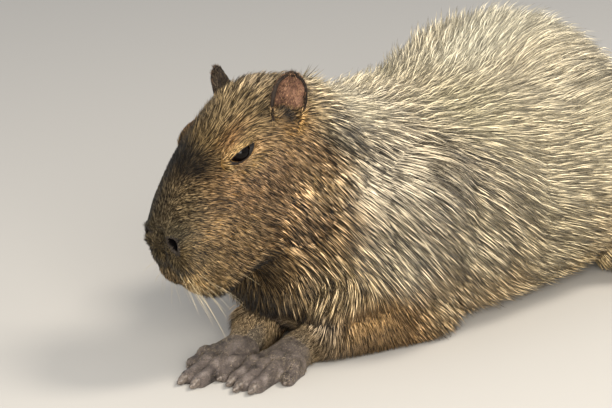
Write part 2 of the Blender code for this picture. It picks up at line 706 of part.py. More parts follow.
def main():
    clear_scene()
    animal = collection("capybara")
    tools = collection("cutters")
    tools.hide_render = True
    fur = material("coat", (0.36, 0.27, 0.17), 0.85)
    skin = material("bare_skin", (0.16, 0.13, 0.12), 0.7)
    horn = material("claw_horn", (0.09, 0.08, 0.075), 0.45)
    wet = material("eye", (0.012, 0.009, 0.007), 0.08)

    core = body_core(tools)
    frame = head_frame()
    floor = block("floor", (-1, -1, -0.3), (1, 1, 0), tools)

    # The head ends at a plane behind the ears and jaw, and at one under the jaw; the torso starts at a third.
    occiput = Matrix.Translation(OCCIPUT) @ Matrix.Rotation(OCCIPUT_TILT, 4, "X")
    shoulder = Matrix.Translation(SHOULDER) @ Matrix.Rotation(SHOULDER_TILT, 4, "X")
    regions = {}
    for name, grow in (("tight", 0.0), ("wide", GAP)):
        above_jaw = block("head_region", (-0.3, -0.5, -0.160 - grow), (0.3, 0.5, 0.3), tools, frame=frame)
        ahead = block("ahead", (-0.5, -0.5, -0.5), (0.5, grow, 0.5), tools, frame=occiput)
        behind = block("behind", (-0.5, -grow, -0.7), (0.5, 1.2, 0.7), tools, frame=shoulder)
        regions[name] = boolean(above_jaw, "INTERSECT", ahead), behind
    head_region, torso_region = regions["tight"]

    parts = {}
    for name in ("head", "neck", "torso"):
        item = bpy.data.objects.new(name, core.data.copy())
        animal.objects.link(item)
        parts[name] = decimated(item, DETAIL[name])

    thighs, thigh_cutters, thigh_locks = {}, {}, {}
    for side in (1, -1):
        name = mirrored_name("haunch", side)
        parts[name], thigh_cutters[side] = haunch(name, side, animal, tools)
        thighs[side] = surface_of(parts[name])
        thigh_locks[side] = haunch_locks(thighs[side], side)
        boolean(parts[name], "UNION", [lock.object(tools) for lock in thigh_locks[side]])
    body = surface_of(core)
    boolean(parts["neck"], "UNION", [lock.object(tools) for lock in neck_locks(body)])
    boolean(parts["torso"], "UNION", [lock.object(tools) for lock in torso_locks(body, thighs)])

    boolean(parts["head"], "INTERSECT", head_region)
    boolean(parts["torso"], "INTERSECT", torso_region)
    for cutter in regions["wide"]:
        boolean(parts["neck"], "DIFFERENCE", cutter)
    for side in (1, -1):
        boolean(parts["torso"], "DIFFERENCE", thigh_cutters[side])
        boolean(parts["torso"], "DIFFERENCE", [lock.object(tools, GAP) for lock in thigh_locks[side]])

    arms = {
        1: {"elbow": (0.096, -0.168, 0.036), "wrist": (0.045, -0.316, 0.022)},
        -1: {"elbow": (-0.068, -0.205, 0.036), "wrist": (-0.007, -0.348, 0.023)},
    }
    fore_toes = {
        1: [(0.037, -0.426, 0.006), (0.054, -0.434, 0.006), (0.071, -0.428, 0.006), (0.083, -0.382, 0.006)],
        -1: [(0.018, -0.420, 0.006), (0.010, -0.456, 0.006), (-0.009, -0.456, 0.006), (-0.034, -0.413, 0.006)],
    }
    hind_toes = {
        side: [(0.176 * side, 0.160, 0.006), (0.199 * side, 0.143, 0.006), (0.222 * side, 0.158, 0.006)]
        for side in (1, -1)
    }
    heel_y = 0.360
    for side in (1, -1):
        arm, arm_cutter = foreleg(mirrored_name("foreleg", side), arms[side], animal, tools)
        for name in ("torso", "neck"):
            boolean(parts[name], "DIFFERENCE", arm_cutter)
        toes = fore_toes[side] if side > 0 else fore_toes[side][::-1]
        hand, claws, hand_cutter = foot(
            mirrored_name("forefoot", side),
            (*arms[side]["wrist"][:2], 0.014),
            toes,
            {"share": 0.47, "half_width": (0.020, 0.024, 0.027), "rise": (0.022, 0.020, 0.016)},
            {"half_width": 0.0084, "rise": 0.0105, "claw": 0.015},
            animal,
            tools,
        )
        heel = (0.190 * side + spine_x(heel_y) * 0.6, heel_y, 0.014)
        toes = hind_toes[side] if side > 0 else hind_toes[side][::-1]
        sole, hind_claws, sole_cutter = foot(
            mirrored_name("hindfoot", side),
            heel,
            toes,
            {"share": 0.62, "half_width": (0.020, 0.024, 0.030), "rise": (0.026, 0.022, 0.017)},
            {"half_width": 0.0115, "rise": 0.0125, "claw": 0.019},
            animal,
            tools,
        )
        thigh = parts[mirrored_name("haunch", side)]
        boolean(arm, "DIFFERENCE", hand_cutter)
        boolean(thigh, "DIFFERENCE", sole_cutter)
        boolean(parts["torso"], "DIFFERENCE", sole_cutter)
        parts[arm.name], parts[hand.name], parts[sole.name] = arm, hand, sole
        for claw in claws + hind_claws:
            parts[claw.name] = claw
        face_details(parts["head"], side, tools)
    mouth = mouth_cutter(tools)
    boolean(parts["head"], "DIFFERENCE", mouth)

    for side in (1, -1):
        name = mirrored_name("eye", side)
        centre = Vector((EYE_PLACE.x * side, EYE_PLACE.y, EYE_PLACE.z))
        parts[name] = ball(name, centre, [EYE_RADIUS] * 3, animal, frame=frame, detail=(16, 10))
        name = mirrored_name("ear", side)
        parts[name] = ear(name, side, animal)
        boolean(parts[name], "DIFFERENCE", grown(parts["head"], GAP, tools), solver="EXACT")
    for name, item in parts.items():
        if name.startswith("eye"):
            continue
        boolean(item, "DIFFERENCE", floor)
        keep_largest(item)
    looks = {"head": fur, "neck": fur, "torso": fur, "haunch": fur, "foreleg": fur, "ear": skin}
    looks.update(forefoot=skin, hindfoot=skin, claw=horn, eye=wet)
    for name, item in parts.items():
        item.data.materials.clear()
        item.data.materials.append(looks[name.split("_")[0]])
    for item in list(tools.objects):
        bpy.data.objects.remove(item, do_unlink=True)


main()
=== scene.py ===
import math

import bmesh
import bpy
import numpy as np
from mathutils import Matrix, Vector
from mathutils.bvhtree import BVHTree
from mathutils.kdtree import KDTree


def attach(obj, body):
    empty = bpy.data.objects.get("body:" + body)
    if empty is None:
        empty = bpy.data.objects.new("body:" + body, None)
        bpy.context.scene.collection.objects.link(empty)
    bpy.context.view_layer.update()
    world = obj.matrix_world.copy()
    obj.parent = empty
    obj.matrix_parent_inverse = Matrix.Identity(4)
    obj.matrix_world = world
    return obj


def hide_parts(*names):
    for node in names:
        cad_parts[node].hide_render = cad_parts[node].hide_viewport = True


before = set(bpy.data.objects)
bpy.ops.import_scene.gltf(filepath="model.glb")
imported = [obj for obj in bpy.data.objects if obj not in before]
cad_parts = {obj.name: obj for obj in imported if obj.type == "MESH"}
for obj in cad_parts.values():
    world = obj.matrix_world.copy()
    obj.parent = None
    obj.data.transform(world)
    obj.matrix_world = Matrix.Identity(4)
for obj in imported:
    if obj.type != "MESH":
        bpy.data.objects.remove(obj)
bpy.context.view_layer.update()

draw = np.random.default_rng(41)


# ---- small tools

def linear(hexColour):
    channels = [int(hexColour[i:i + 2], 16) / 255 for i in (1, 3, 5)]
    return [c / 12.92 if c <= 0.04045 else ((c + 0.055) / 1.055) ** 2.4 for c in channels] + [1.0]


def addObject(name, mesh, materials=()):
    item = bpy.data.objects.new(name, mesh)
    bpy.context.scene.collection.objects.link(item)
    for material in materials:
        mesh.materials.append(material)
    return item


def meshOf(name, shape, smooth=False):
    mesh = bpy.data.meshes.new(name)
    shape.to_mesh(mesh)
    shape.free()
    if smooth:
        mesh.shade_smooth()
    return mesh


def applied(item):
    bpy.context.view_layer.update()
    made = bpy.data.meshes.new_from_object(item.evaluated_get(bpy.context.evaluated_depsgraph_get()))
    item.modifiers.clear()
    item.data = made
    return item


def readRows(items, name, width=3, kind=np.float32):
    rows = np.empty(len(items) * width, kind)
    items.foreach_get(name, rows)
    return rows.reshape(-1, width).astype(float if kind == np.float32 else kind)


def setPlaces(mesh, rows, lowest=None):
    if lowest is not None:
        rows[:, 2] = np.maximum(rows[:, 2], lowest)
    mesh.vertices.foreach_set("co", rows.astype(np.float32).ravel())
    mesh.update()


def setSlots(mesh, indices):
    mesh.polygons.foreach_set("material_index", np.broadcast_to(indices, len(mesh.polygons)).astype(np.int32))


def unit(rows):
    return rows / np.maximum(np.linalg.norm(rows, axis=-1, keepdims=True), 1e-9)


def smoothStep(value, low, high):
    t = np.clip((value - low) / (high - low), 0, 1)
    return t * t * (3 - 2 * t)


def within(rows, place):
    # the rows in the frame of a matrix
    return (rows - np.array(place.translation)) @ np.array(place.to_3x3())


def nearness(away, reach, power=1.0, limit=40):
    # 1 at a spot, falling off over its reach
    return np.exp(-np.minimum(((away / reach) ** 2).sum(1), limit) ** power)


# ---- the body's own frames and lofts, the same as in the CAD

bodySizes = {
    "backHeight": 0.325,
    "trunkHalfWidth": 0.184,
    "rumpSwing": 0.095,
    "headPlace": (0.0, -0.326, 0.302),
    "headTurn": -15,
    "headNod": 37,
}
headFrame = (
    Matrix.Translation(bodySizes["headPlace"])
    @ Matrix.Rotation(math.radians(bodySizes["headTurn"]), 4, "Z")
    @ Matrix.Rotation(math.radians(bodySizes["headNod"]), 4, "X")
)
headRows = np.array(headFrame.to_3x3())
headOrigin = np.array(headFrame.translation)


def toHead(rows):
    return within(rows, headFrame)


def fromHead(rows):
    return rows @ headRows.T + headOrigin


def spineX(y):
    return -bodySizes["rumpSwing"] * (max(0.0, y - 0.10) / 0.31) ** 2


def smoothRows(stations, steps):
    rows = np.asarray(stations, float)
    padded = np.vstack([2 * rows[0] - rows[1], rows, 2 * rows[-1] - rows[-2]])
    made = []
    for i in range(1, len(padded) - 2):
        a, b, c, d = padded[i - 1:i + 3]
        for k in range(steps):
            t = k / steps
            curve = (2 * b, c - a, 2 * a - 5 * b + 4 * c - d, 3 * b - a - 3 * c + d)
            made.append(0.5 * sum(part * t**n for n, part in enumerate(curve)))
    made.append(padded[-2])
    return np.array(made)


def addLoft(shape, stations, axis=None, place=None, sides=32, steps=5, caps=(0.02, 0.02), inset=0.0,
            dome=(18, 36, 54, 70, 82)):
    rows = smoothRows(stations, steps) if steps > 1 else np.asarray(stations, float)
    centres = [Vector(row[:3]) for row in rows]
    rings = []
    for i, row in enumerate(rows):
        ahead, behind = centres[min(i + 1, len(rows) - 1)], centres[max(i - 1, 0)]
        along = Vector(axis) if axis else (ahead - behind).normalized()
        side = Vector((0, 0, 1)).cross(along).normalized()
        rings.append((centres[i], along, side, along.cross(side), row[3:]))

    def domed(end, outward, depth):
        centre, along, side, up, sizes = end
        return [
            (centre + along * outward * depth * math.sin(math.radians(a)), along, side, up,
             [*(sizes[:3] * math.cos(math.radians(a))), sizes[3]])
            for a in dome
        ]

    whole = domed(rings[0], -1, caps[0])[::-1] + rings + domed(rings[-1], 1, caps[1])
    place = place or Matrix.Identity(4)
    levels = []
    for centre, along, side, up, (halfWidth, rise, drop, power) in whole:
        level = []
        for k in range(sides):
            angle = 2 * math.pi * k / sides
            c, s = math.cos(angle), math.sin(angle)
            across = max(0.0005, halfWidth - inset) * math.copysign(abs(c) ** (2 / power), c)
            reach = max(0.0005, (rise if s > 0 else drop) - inset) * math.copysign(abs(s) ** (2 / power), s)
            level.append(shape.verts.new(place @ (centre + side * across + up * reach)))
        levels.append(level)
    for low, high in zip(levels, levels[1:]):
        for k in range(sides):
            m = (k + 1) % sides
            shape.faces.new((low[k], low[m], high[m], high[k]))
    shape.faces.new(levels[0])
    shape.faces.new(levels[-1][::-1])


def addBall(shape, centre, radii, place=None, turn=None, inset=0.0, detail=(28, 18)):
    matrix = (place or Matrix.Identity(4)) @ Matrix.Translation(centre)
    if turn:
        matrix = matrix @ turn
    matrix = matrix @ Matrix.Diagonal((*[max(0.001, r - inset) for r in radii], 1.0))
    bmesh.ops.create_uvsphere(shape, u_segments=detail[0], v_segments=detail[1], radius=1.0, matrix=matrix)


def fuse(name, shape, voxel, passes):
    bmesh.ops.recalc_face_normals(shape, faces=shape.faces[:])
    item = addObject(name, meshOf(name, shape))
    remesh = item.modifiers.new("voxels", "REMESH")
    remesh.mode, remesh.voxel_size = "VOXEL", voxel
    smooth = item.modifiers.new("smooth", "SMOOTH")
    smooth.factor, smooth.iterations = 0.5, passes
    return applied(item)


# ---- lids: a bulge round each eye with an almond opening

lidForm = {
    "centre": (0.0395, -0.0690, 0.0035),
    "radii": (0.0142, 0.0265, 0.0165),  # the bulge: outward, along the eye, up and down
    "slitHalf": 0.0191,
    "slitUp": 0.0046,
    "slitDown": 0.0072,
    "slitRise": 0.0024,  # of the slit's line over the bulge's centre
    "tilt": -9,
}


def lidPlace(side):
    centre = Vector(lidForm["centre"])
    centre.x *= side
    return headFrame @ Matrix.Translation(centre) @ Matrix.Rotation(math.radians(lidForm["tilt"]), 4, "X")


# ---- skin: one surface for all the flesh, under the coat

skinBuild = {
    "voxel": 0.0042,
    "footVoxel": 0.0017,
    "trunkInset": 0.0095,  # depth of the long coat's under layer
    "napeInset": 0.0085,
    "headInset": 0.0030,  # the face's short fur
    "legInset": 0.0022,
    "smoothing": 8,
    "footSmoothing": 4,
    "fineFrom": (-0.030, -0.162),  # ahead of these, in the head's frame, the skin is divided once and once more
}


def trunkStations():
    h, w = bodySizes["backHeight"], bodySizes["trunkHalfWidth"]
    rows = (  # y, widest level, half width, top, bottom, power
        (-0.315, 0.125, 0.42 * w, 0.62 * h, 0.050, 2.0),
        (-0.270, 0.130, 0.62 * w, 0.78 * h, 0.012, 2.1),
        (-0.190, 0.130, 0.78 * w, 0.850 * h, -0.014, 2.2),
        (-0.080, 0.132, 0.90 * w, 0.835 * h, -0.020, 2.3),
        (0.020, 0.130, 0.97 * w, 0.855 * h, -0.022, 2.2),
        (0.120, 0.130, 1.00 * w, 0.955 * h, -0.022, 2.2),
        (0.205, 0.126, 0.99 * w, 0.928 * h, -0.022, 1.95),
        (0.290, 0.106, 0.89 * w, 0.722 * h, -0.020, 1.95),
        (0.355, 0.096, 0.80 * w, 0.610 * h, -0.014, 2.1),
        (0.410, 0.082, 0.64 * w, 0.470 * h, -0.002, 2.0),
    )
    return [(spineX(y), y, z, half, top - z, z - bottom, power) for y, z, half, top, bottom, power in rows]


skullStations = [  # head frame: y, widest level, half width, top, bottom, power
    (0, y, z, half, top - z, z - bottom, power)
    for y, z, half, top, bottom, power in (
        (0.060, -0.070, 0.060, -0.020, -0.140, 2.1),
        (0.020, -0.066, 0.065, 0.019, -0.150, 2.3),
        (-0.020, -0.065, 0.066, 0.0355, -0.150, 2.4),
        (-0.060, -0.064, 0.062, 0.0345, -0.146, 2.5),
        (-0.100, -0.061, 0.054, 0.0290, -0.140, 2.6),
        (-0.140, -0.058, 0.047, 0.0165, -0.134, 2.6),
        (-0.168, -0.056, 0.043, 0.001, -0.126, 2.7),
        (-0.184, -0.057, 0.040, -0.011, -0.114, 2.7),
    )
]
arms = {
    1: {"elbow": (0.096, -0.168, 0.036), "wrist": (0.045, -0.316, 0.022)},
    -1: {"elbow": (-0.068, -0.205, 0.036), "wrist": (-0.007, -0.348, 0.023)},
}


def bodySkin():
    shape = bmesh.new()
    build = skinBuild
    addLoft(shape, trunkStations(), axis=(0, 1, 0), sides=48, caps=(0.035, 0.05), inset=build["trunkInset"])
    addLoft(shape, skullStations, axis=(0, 1, 0), place=headFrame, sides=48, caps=(0.03, 0.016),
            inset=build["headInset"])
    nape = [
        (0.003, -0.290, 0.225, 0.070, 0.079, 0.100, 2.1),
        (0.002, -0.240, 0.210, 0.090, 0.092, 0.120, 2.1),
        (0.000, -0.180, 0.185, 0.118, 0.106, 0.130, 2.1),
        (0.000, -0.110, 0.165, 0.138, 0.116, 0.130, 2.2),
    ]
    addLoft(shape, nape, axis=(0, 1, 0), inset=build["napeInset"])
    for side in (1, -1):
        lumps = (
            ((0.033, -0.064, 0.007), (0.015, 0.028, 0.012)),  # brow
            ((0.040, -0.045, -0.100), (0.030, 0.050, 0.046)),  # cheek
            ((0.030, 0.000, -0.110), (0.038, 0.045, 0.045)),  # jaw corner
            ((0.019, -0.180, -0.078), (0.024, 0.026, 0.032)),  # upper lip
            ((0.021, -0.176, -0.036), (0.021, 0.021, 0.022)),  # nose wing
            ((0.018, -0.182, -0.057), (0.024, 0.0205, 0.024)),  # between nose and lip
        )
        for centre, radii in lumps:
            addBall(shape, (centre[0] * side, *centre[1:]), radii, headFrame, inset=build["headInset"] * 0.8)
        addBall(shape, (0, 0, 0), [r * 0.95 for r in lidForm["radii"]], lidPlace(side))
        addBall(shape, (0.094 * side, -0.170, 0.138), (0.068, 0.095, 0.112), inset=build["trunkInset"])
        addBall(shape, (0.092 * side, -0.165, 0.070), (0.052, 0.080, 0.075), inset=build["trunkInset"])
        elbow, wrist = Vector(arms[side]["elbow"]), Vector(arms[side]["wrist"])
        middle = elbow.lerp(wrist, 0.5)
        forearm = [
            (*(elbow + (elbow - wrist) * 0.18), 0.030, 0.030, 0.030, 2.2),
            (*elbow, 0.033, 0.034, 0.038, 2.2),
            (*middle, 0.031, 0.031, 0.034, 2.2),
            (*wrist.lerp(middle, 0.22), 0.0215, 0.0215, 0.025, 2.3),
            (*wrist, 0.021, 0.018, 0.023, 2.4),
        ]
        addLoft(shape, forearm, sides=28, caps=(0.02, 0.010), inset=build["legInset"])
        thigh = [
            (spineX(y) + out * side, y, z, half, rise, drop, 2.2)
            for y, out, z, half, rise, drop in (
                (0.130, 0.127, 0.110, 0.060, 0.072, 0.075),
                (0.170, 0.133, 0.118, 0.078, 0.098, 0.110),
                (0.235, 0.135, 0.118, 0.084, 0.112, 0.122),
                (0.300, 0.130, 0.108, 0.078, 0.098, 0.112),
                (0.355, 0.117, 0.094, 0.064, 0.072, 0.092),
            )
        ]
        addLoft(shape, thigh, axis=(0, 1, 0), caps=(0.045, 0.040), inset=build["trunkInset"])
    addBall(shape, (0, -0.158, -0.117), (0.028, 0.032, 0.020), headFrame, inset=build["headInset"])
    addBall(shape, (0.006, -0.256, 0.088), (0.074, 0.066, 0.072), inset=build["trunkInset"])
    return fuse("skin", shape, build["voxel"], build["smoothing"])


# ---- face: brows, nostrils, lips and folds are moved into the skin's head

faceForms = {
    "eyePlace": (0.0385, -0.067, 0.0040),  # left, in the head's frame
    "eyeRadius": 0.0140,
    "nostrilPlace": (0.0275, -0.1915, -0.0262),
    "nostrilSize": (0.0072, 0.0035),
    "nostrilDepth": 0.0130,
    "nostrilTilt": 52,
    "nostrilRim": 0.0007,
    "lidOpening": 0.0070,  # how deep the skin sinks behind the lids
    "browRise": 0.0016,
    "hollowDepth": 0.0022,
    "grooveDepth": 0.0028,
    "lipRise": 0.0010,
    "lipDepth": 0.0040,
    "lipBare": 0.0030,
    # inside the first reach the nostril is painted near-black, as painted shade in the hole
    "nostrilEdges": {"shadedPit": 1.20, "bare": 1.55, "leather": 2.0},  # reaches, 1 on the hole's rim
    "lidEdges": {"leather": 1.09, "bare": 1.12},  # reaches, 1 on the lids' rim
    "behindLid": -0.004,
}
floorGaps = {"skin": 0.0008, "feet": 0.0006, "claws": 0.0005, "roots": 0.0011, "hairs": 0.0007, "fur": 0.0005}


def nostrilReach(head, side):
    local = head - np.array(faceForms["nostrilPlace"]) * (side, 1, 1)
    turn = math.radians(faceForms["nostrilTilt"] * side)
    across = local[:, 0] * math.cos(turn) - local[:, 2] * math.sin(turn)
    upward = local[:, 0] * math.sin(turn) + local[:, 2] * math.cos(turn)
    wide, high = faceForms["nostrilSize"]
    bow = 0.30 * across**2 / wide  # the hole curves over the wing
    reach = np.sqrt((across / wide) ** 2 + ((upward + bow) / high) ** 2)
    return np.where(head[:, 1] < -0.160, reach, 9.0)


def slitReach(local):
    # 1 on the lids' rim, growing outward, for places in a lid's own frame
    rise = local[:, 2] - lidForm["slitRise"]
    up = rise / np.where(rise > 0, lidForm["slitUp"], lidForm["slitDown"])
    tail = np.where(local[:, 1] > 0, 1.9, 1.15)
    return np.sqrt((local[:, 1] / lidForm["slitHalf"]) ** 2 + np.abs(up) ** (2 / tail))


def mouthLine(count=40):
    angles = np.radians(np.linspace(-100, 100, count))
    return np.stack([0.047 * np.sin(angles), -0.140 - 0.052 * np.cos(angles), -0.1025 - 0.0085 * np.cos(angles)], 1)


def mouthReach(head, stretch):
    # how far each place is from the mouth's line, and its height over the nearest point
    distance, height = np.full(len(head), 1.0), np.zeros(len(head))
    close = np.where((head[:, 1] < -0.09) & (head[:, 2] < -0.07))[0]
    for point in mouthLine():
        gap = np.linalg.norm((head[close] - point) * stretch, axis=1)
        nearer = gap < distance[close]
        distance[close[nearer]] = gap[nearer]
        height[close[nearer]] = (head[close, 2] - point[2])[nearer]
    return distance, height


def refine(item, *limits):
    place = headFrame.inverted()
    shape = bmesh.new()
    shape.from_mesh(item.data)
    for limit in limits:
        middles = [place @ ((e.verts[0].co + e.verts[1].co) / 2) for e in shape.edges]
        edges = [e for e, at in zip(shape.edges, middles) if at.y < limit and at.z > -0.155]
        bmesh.ops.subdivide_edges(shape, edges=edges, cuts=1, use_grid_fill=True, smooth=0.6)
        bmesh.ops.triangulate(shape, faces=[f for f in shape.faces if len(f.verts) > 4])
    shape.to_mesh(item.data)
    shape.free()


def sculptHead(mesh):
    mesh.update()
    rows = readRows(mesh.vertices, "co")
    normals = readRows(mesh.vertices, "normal") @ headRows
    head = toHead(rows)
    move = np.zeros_like(head)
    ahead = smoothStep(-head[:, 1], 0.02, 0.05)
    nostril = np.full(len(head), 9.0)
    for side in (1, -1):
        reach = nostrilReach(head, side)
        nostril = np.minimum(nostril, reach)
        pit = np.clip(1.30 - reach, 0, 1) ** 0.7
        rim = np.exp(-((reach - 1.60) / 0.35) ** 2)
        move += np.array([(-0.25 * side, 1.0, -0.10)]) * (pit * faceForms["nostrilDepth"])[:, None]
        local = within(rows, lidPlace(side))
        opening = (1 - smoothStep(slitReach(local), 0.85, 1.30)) * (local[:, 0] * side > 0)
        move -= np.array([(side, 0, 0)]) * (faceForms["lidOpening"] * opening)[:, None]
        move += normals * (rim * faceForms["nostrilRim"])[:, None]
        # the brow over the half-closed eye, and the hollow in front of it
        eye = head - np.array(faceForms["eyePlace"]) * (side, 1, 1)
        brow = nearness(eye - (0.012 * side, 0, 0.015), (0.02, 0.018, 0.006), limit=700)
        hollow = nearness(eye - (0.006 * side, -0.024, -0.006), (0.016, 0.010, 0.010), limit=700)
        move += normals * (faceForms["browRise"] * brow - faceForms["hollowDepth"] * hollow)[:, None]
    # the groove under the nose
    groove = np.exp(-(head[:, 0] / 0.0022) ** 2) * (head[:, 1] < -0.178)
    groove *= smoothStep(-head[:, 2], 0.018, 0.034) * (1 - smoothStep(-head[:, 2], 0.098, 0.106))
    move += np.array([(0, 1, 0)]) * (faceForms["grooveDepth"] * groove)[:, None]
    # the mouth's crease and the lips on both sides of it
    distance, height = mouthReach(head, (1, 1, 1.35))
    crease = np.exp(-(height / 0.0016) ** 2) * (distance < 0.016)
    lips = np.exp(-((np.abs(height) - 0.0050) / 0.0030) ** 2) * (distance < 0.016)
    move += normals * ((lips * faceForms["lipRise"] - crease * faceForms["lipDepth"]) * ahead)[:, None]
    setPlaces(mesh, fromHead(head + move))
    mesh.attributes.new("nostril", "FLOAT", "POINT").data.foreach_set("value", nostril.astype(np.float32))


# ---- feet: bare hands and soles with long, partly webbed toes

footForms = {
    "fore": {
        "toes": {
            1: [(0.037, -0.426, 0.006), (0.054, -0.434, 0.006), (0.071, -0.428, 0.006), (0.083, -0.382, 0.006)],
            -1: [(-0.034, -0.413, 0.006), (-0.009, -0.456, 0.006), (0.010, -0.456, 0.006), (0.018, -0.420, 0.006)],
        },
        "share": 0.40, "halfWidth": (0.020, 0.024, 0.027), "rise": (0.022, 0.020, 0.016),
        "toeHalf": 0.0084, "toeRise": 0.0105, "claw": 0.015,
    },
    "hind": {
        "toes": {
            1: [(0.176, 0.160, 0.006), (0.199, 0.143, 0.006), (0.222, 0.158, 0.006)],
            -1: [(-0.222, 0.158, 0.006), (-0.199, 0.143, 0.006), (-0.176, 0.160, 0.006)],
        },
        "share": 0.62, "halfWidth": (0.020, 0.024, 0.030), "rise": (0.026, 0.022, 0.017),
        "toeHalf": 0.0115, "toeRise": 0.0125, "claw": 0.019,
    },
}


def footRuns(kind, side):
    form = footForms[kind]
    if kind == "fore":
        heel = Vector((*arms[side]["wrist"][:2], 0.014))
    else:
        heel = Vector((0.190 * side + spineX(0.360) * 0.6, 0.360, 0.014))
    ends = [Vector(p) for p in form["toes"][side]]
    middle = sum(ends, Vector()) / len(ends)
    forward = (middle - heel).normalized()
    across = Vector((0, 0, 1)).cross(forward).normalized()
    if (ends[-1] - ends[0]).dot(across) < 0:
        across = -across
    knuckle = heel.lerp(middle, form["share"])
    spread = form["halfWidth"][2] - form["toeHalf"] * 0.75
    shares = [k / (len(ends) - 1) * 2 - 1 for k in range(len(ends))]
    runs = [(knuckle - forward * 0.012 + across * spread * share, tip) for share, tip in zip(shares, ends)]
    return heel, knuckle, forward, across, runs


def footSkin(kind, side):
    form = footForms[kind]
    heel, knuckle, forward, across, runs = footRuns(kind, side)
    shape = bmesh.new()
    half, rise = form["toeHalf"], form["toeRise"]
    palm = [
        (*heel, form["halfWidth"][0], form["rise"][0], 0.022, 2.3),
        (*heel.lerp(knuckle, 0.5), form["halfWidth"][1], form["rise"][1], 0.022, 2.4),
        (*knuckle, form["halfWidth"][2], form["rise"][2], 0.020, 2.4),
    ]
    addLoft(shape, palm, sides=28, caps=(0.014, 0.014), inset=0.0006)
    for root, tip in runs:
        run = tip - root
        toe = [
            (*(root + run * share + Vector((0, 0, lift))), half * wide, rise * high, drop, 2.2)
            for share, lift, wide, high, drop in (
                (0, 0, 1, 1, 0.018),
                (0.22, 0.002, 0.93, 0.98, 0.017),
                (0.40, 0.004, 1.04, 1.04, 0.017),
                (0.58, 0.001, 0.86, 0.82, 0.016),
                (0.82, 0, 0.92, 0.74, 0.014),
            )
        ]
        addLoft(shape, toe, sides=18, steps=3, caps=(0.008, 0.008))
        for share, size in ((0.05, 0.84), (0.40, 0.74)):  # knuckles
            at = root + run * share + Vector((0, 0, rise * 0.46))
            addBall(shape, at, (half * size, half * size * 1.1, rise * 0.66), detail=(16, 10))
    for (rootA, tipA), (rootB, tipB) in zip(runs, runs[1:]):  # webs
        webs = []
        for share in (0.0, 0.25, 0.48):
            a, b = rootA.lerp(tipA, share), rootB.lerp(tipB, share)
            webs.append((*((a + b) / 2), (a - b).length / 2, 0.0022, 0.012, 2.6))
        addLoft(shape, webs, sides=16, steps=3, caps=(0.004, 0.002))
    tendons = zip(runs, (-0.6, -0.2, 0.2, 0.6) if len(runs) == 4 else (-0.55, 0, 0.55))
    for (root, tip), share in tendons:  # tendons over the back of the hand
        start = heel + across * form["halfWidth"][0] * share * 0.8 + Vector((0, 0, form["rise"][0] * 0.70))
        end = root + Vector((0, 0, rise * 0.72))
        rows = [(*start.lerp(end, t), 0.0030, 0.0034, 0.006, 2.0) for t in (0, 0.5, 1)]
        addLoft(shape, rows, sides=12, steps=3, caps=(0.003, 0.003))
    item = fuse(f"foot_{kind}_{side}", shape, skinBuild["footVoxel"], skinBuild["footSmoothing"])
    setPlaces(item.data, readRows(item.data.vertices, "co"), floorGaps["feet"])
    return item


# ---- ears: thin cups with a rolled front margin

earForm = {
    "length": 0.052, "halfWidth": 0.0198, "cup": 0.0130, "thickness": 0.0024,
    "root": {1: (0.052, -0.003, -0.004), -1: (-0.052, -0.011, -0.012)},
    "lean": {1: -38, -1: -10}, "turn": {1: 62, -1: -46},
    "roll": (0.0030, 0.0016),  # half thickness of the margin's fold, in front and behind
    "insideFrom": -0.05,  # of a normal's look out of the cup, for the hairs' tone and number
}


def earPlace(side):
    turns = ((earForm["lean"][side], "X"), (11 * side, "Y"), (earForm["turn"][side], "Z"))
    place = headFrame @ Matrix.Translation(earForm["root"][side])
    for degrees, axis in turns:
        place = place @ Matrix.Rotation(math.radians(degrees), 4, axis)
    return place


def inEar(normals, side):
    # how far a normal looks out of the ear's opening, below 0 inside the cup
    return normals @ np.array(earPlace(side).to_3x3() @ Vector((0, 1, 0)))


def earSkin(side):
    place = earPlace(side)
    rows, columns, sink = 22, 20, 0.014
    shape = bmesh.new()
    grid = []
    for i in range(rows):
        t = math.sin(math.pi / 2 * i / (rows - 1))
        height = -sink + (earForm["length"] + sink) * t
        oval = (0.66 + 0.34 * math.sin(math.pi * min(1, t / 0.65) / 2)) * math.sqrt(max(0.10, 1 - t**5.5))
        width, depth = earForm["halfWidth"] * oval, earForm["cup"] * (1 - 0.62 * t) * oval
        line = []
        for k in range(columns + 1):
            angle = math.radians(-108 + 190 * k / columns)
            x, y = width * math.sin(angle) * side, depth * math.cos(angle)
            ripple = 0.0006 * math.sin(9 * t + 5 * angle) + 0.0004 * math.sin(17 * t - 7 * angle)
            edgeRise = -0.0022 * t**3 * math.sin(angle) ** 2
            at = Vector((x, y - depth * 0.3 + 0.004 * t + ripple, height + edgeRise))
            line.append(shape.verts.new(place @ at))
        grid.append(line)
    for low, high in zip(grid, grid[1:]):
        for k in range(columns):
            quad = (low[k], low[k + 1], high[k + 1], high[k])
            shape.faces.new(quad if side > 0 else quad[::-1])
    edge = [line[0] for line in grid] + grid[-1][1:-1] + [line[-1] for line in grid[::-1]]
    margin = [v.co.copy() for v in edge]
    item = addObject("ear", meshOf("ear", shape))
    shell = item.modifiers.new("thickness", "SOLIDIFY")
    shell.thickness, shell.offset = earForm["thickness"], 0.0
    item.modifiers.new("round", "SUBSURF").levels = 1
    roll = bmesh.new()  # the margin's fold, thick in front and thin behind
    stations = []
    front, behind = earForm["roll"]
    for i, at in enumerate(margin[::2]):
        share = min(1.0, i * 2 / rows)
        size = front + (behind - front) * (share if i * 2 > rows * 0.5 else share * 0.5)
        size *= min(1.0, 0.25 + 0.15 * min(i, (len(margin) - 1) // 2 - i))  # both ends run out in the fur
        stations.append((*at, size, size, size, 2.0))
    addLoft(roll, stations, sides=10, steps=2, caps=(0.001, 0.001), dome=(45,))
    return applied(item), addObject("roll", meshOf("roll", roll))


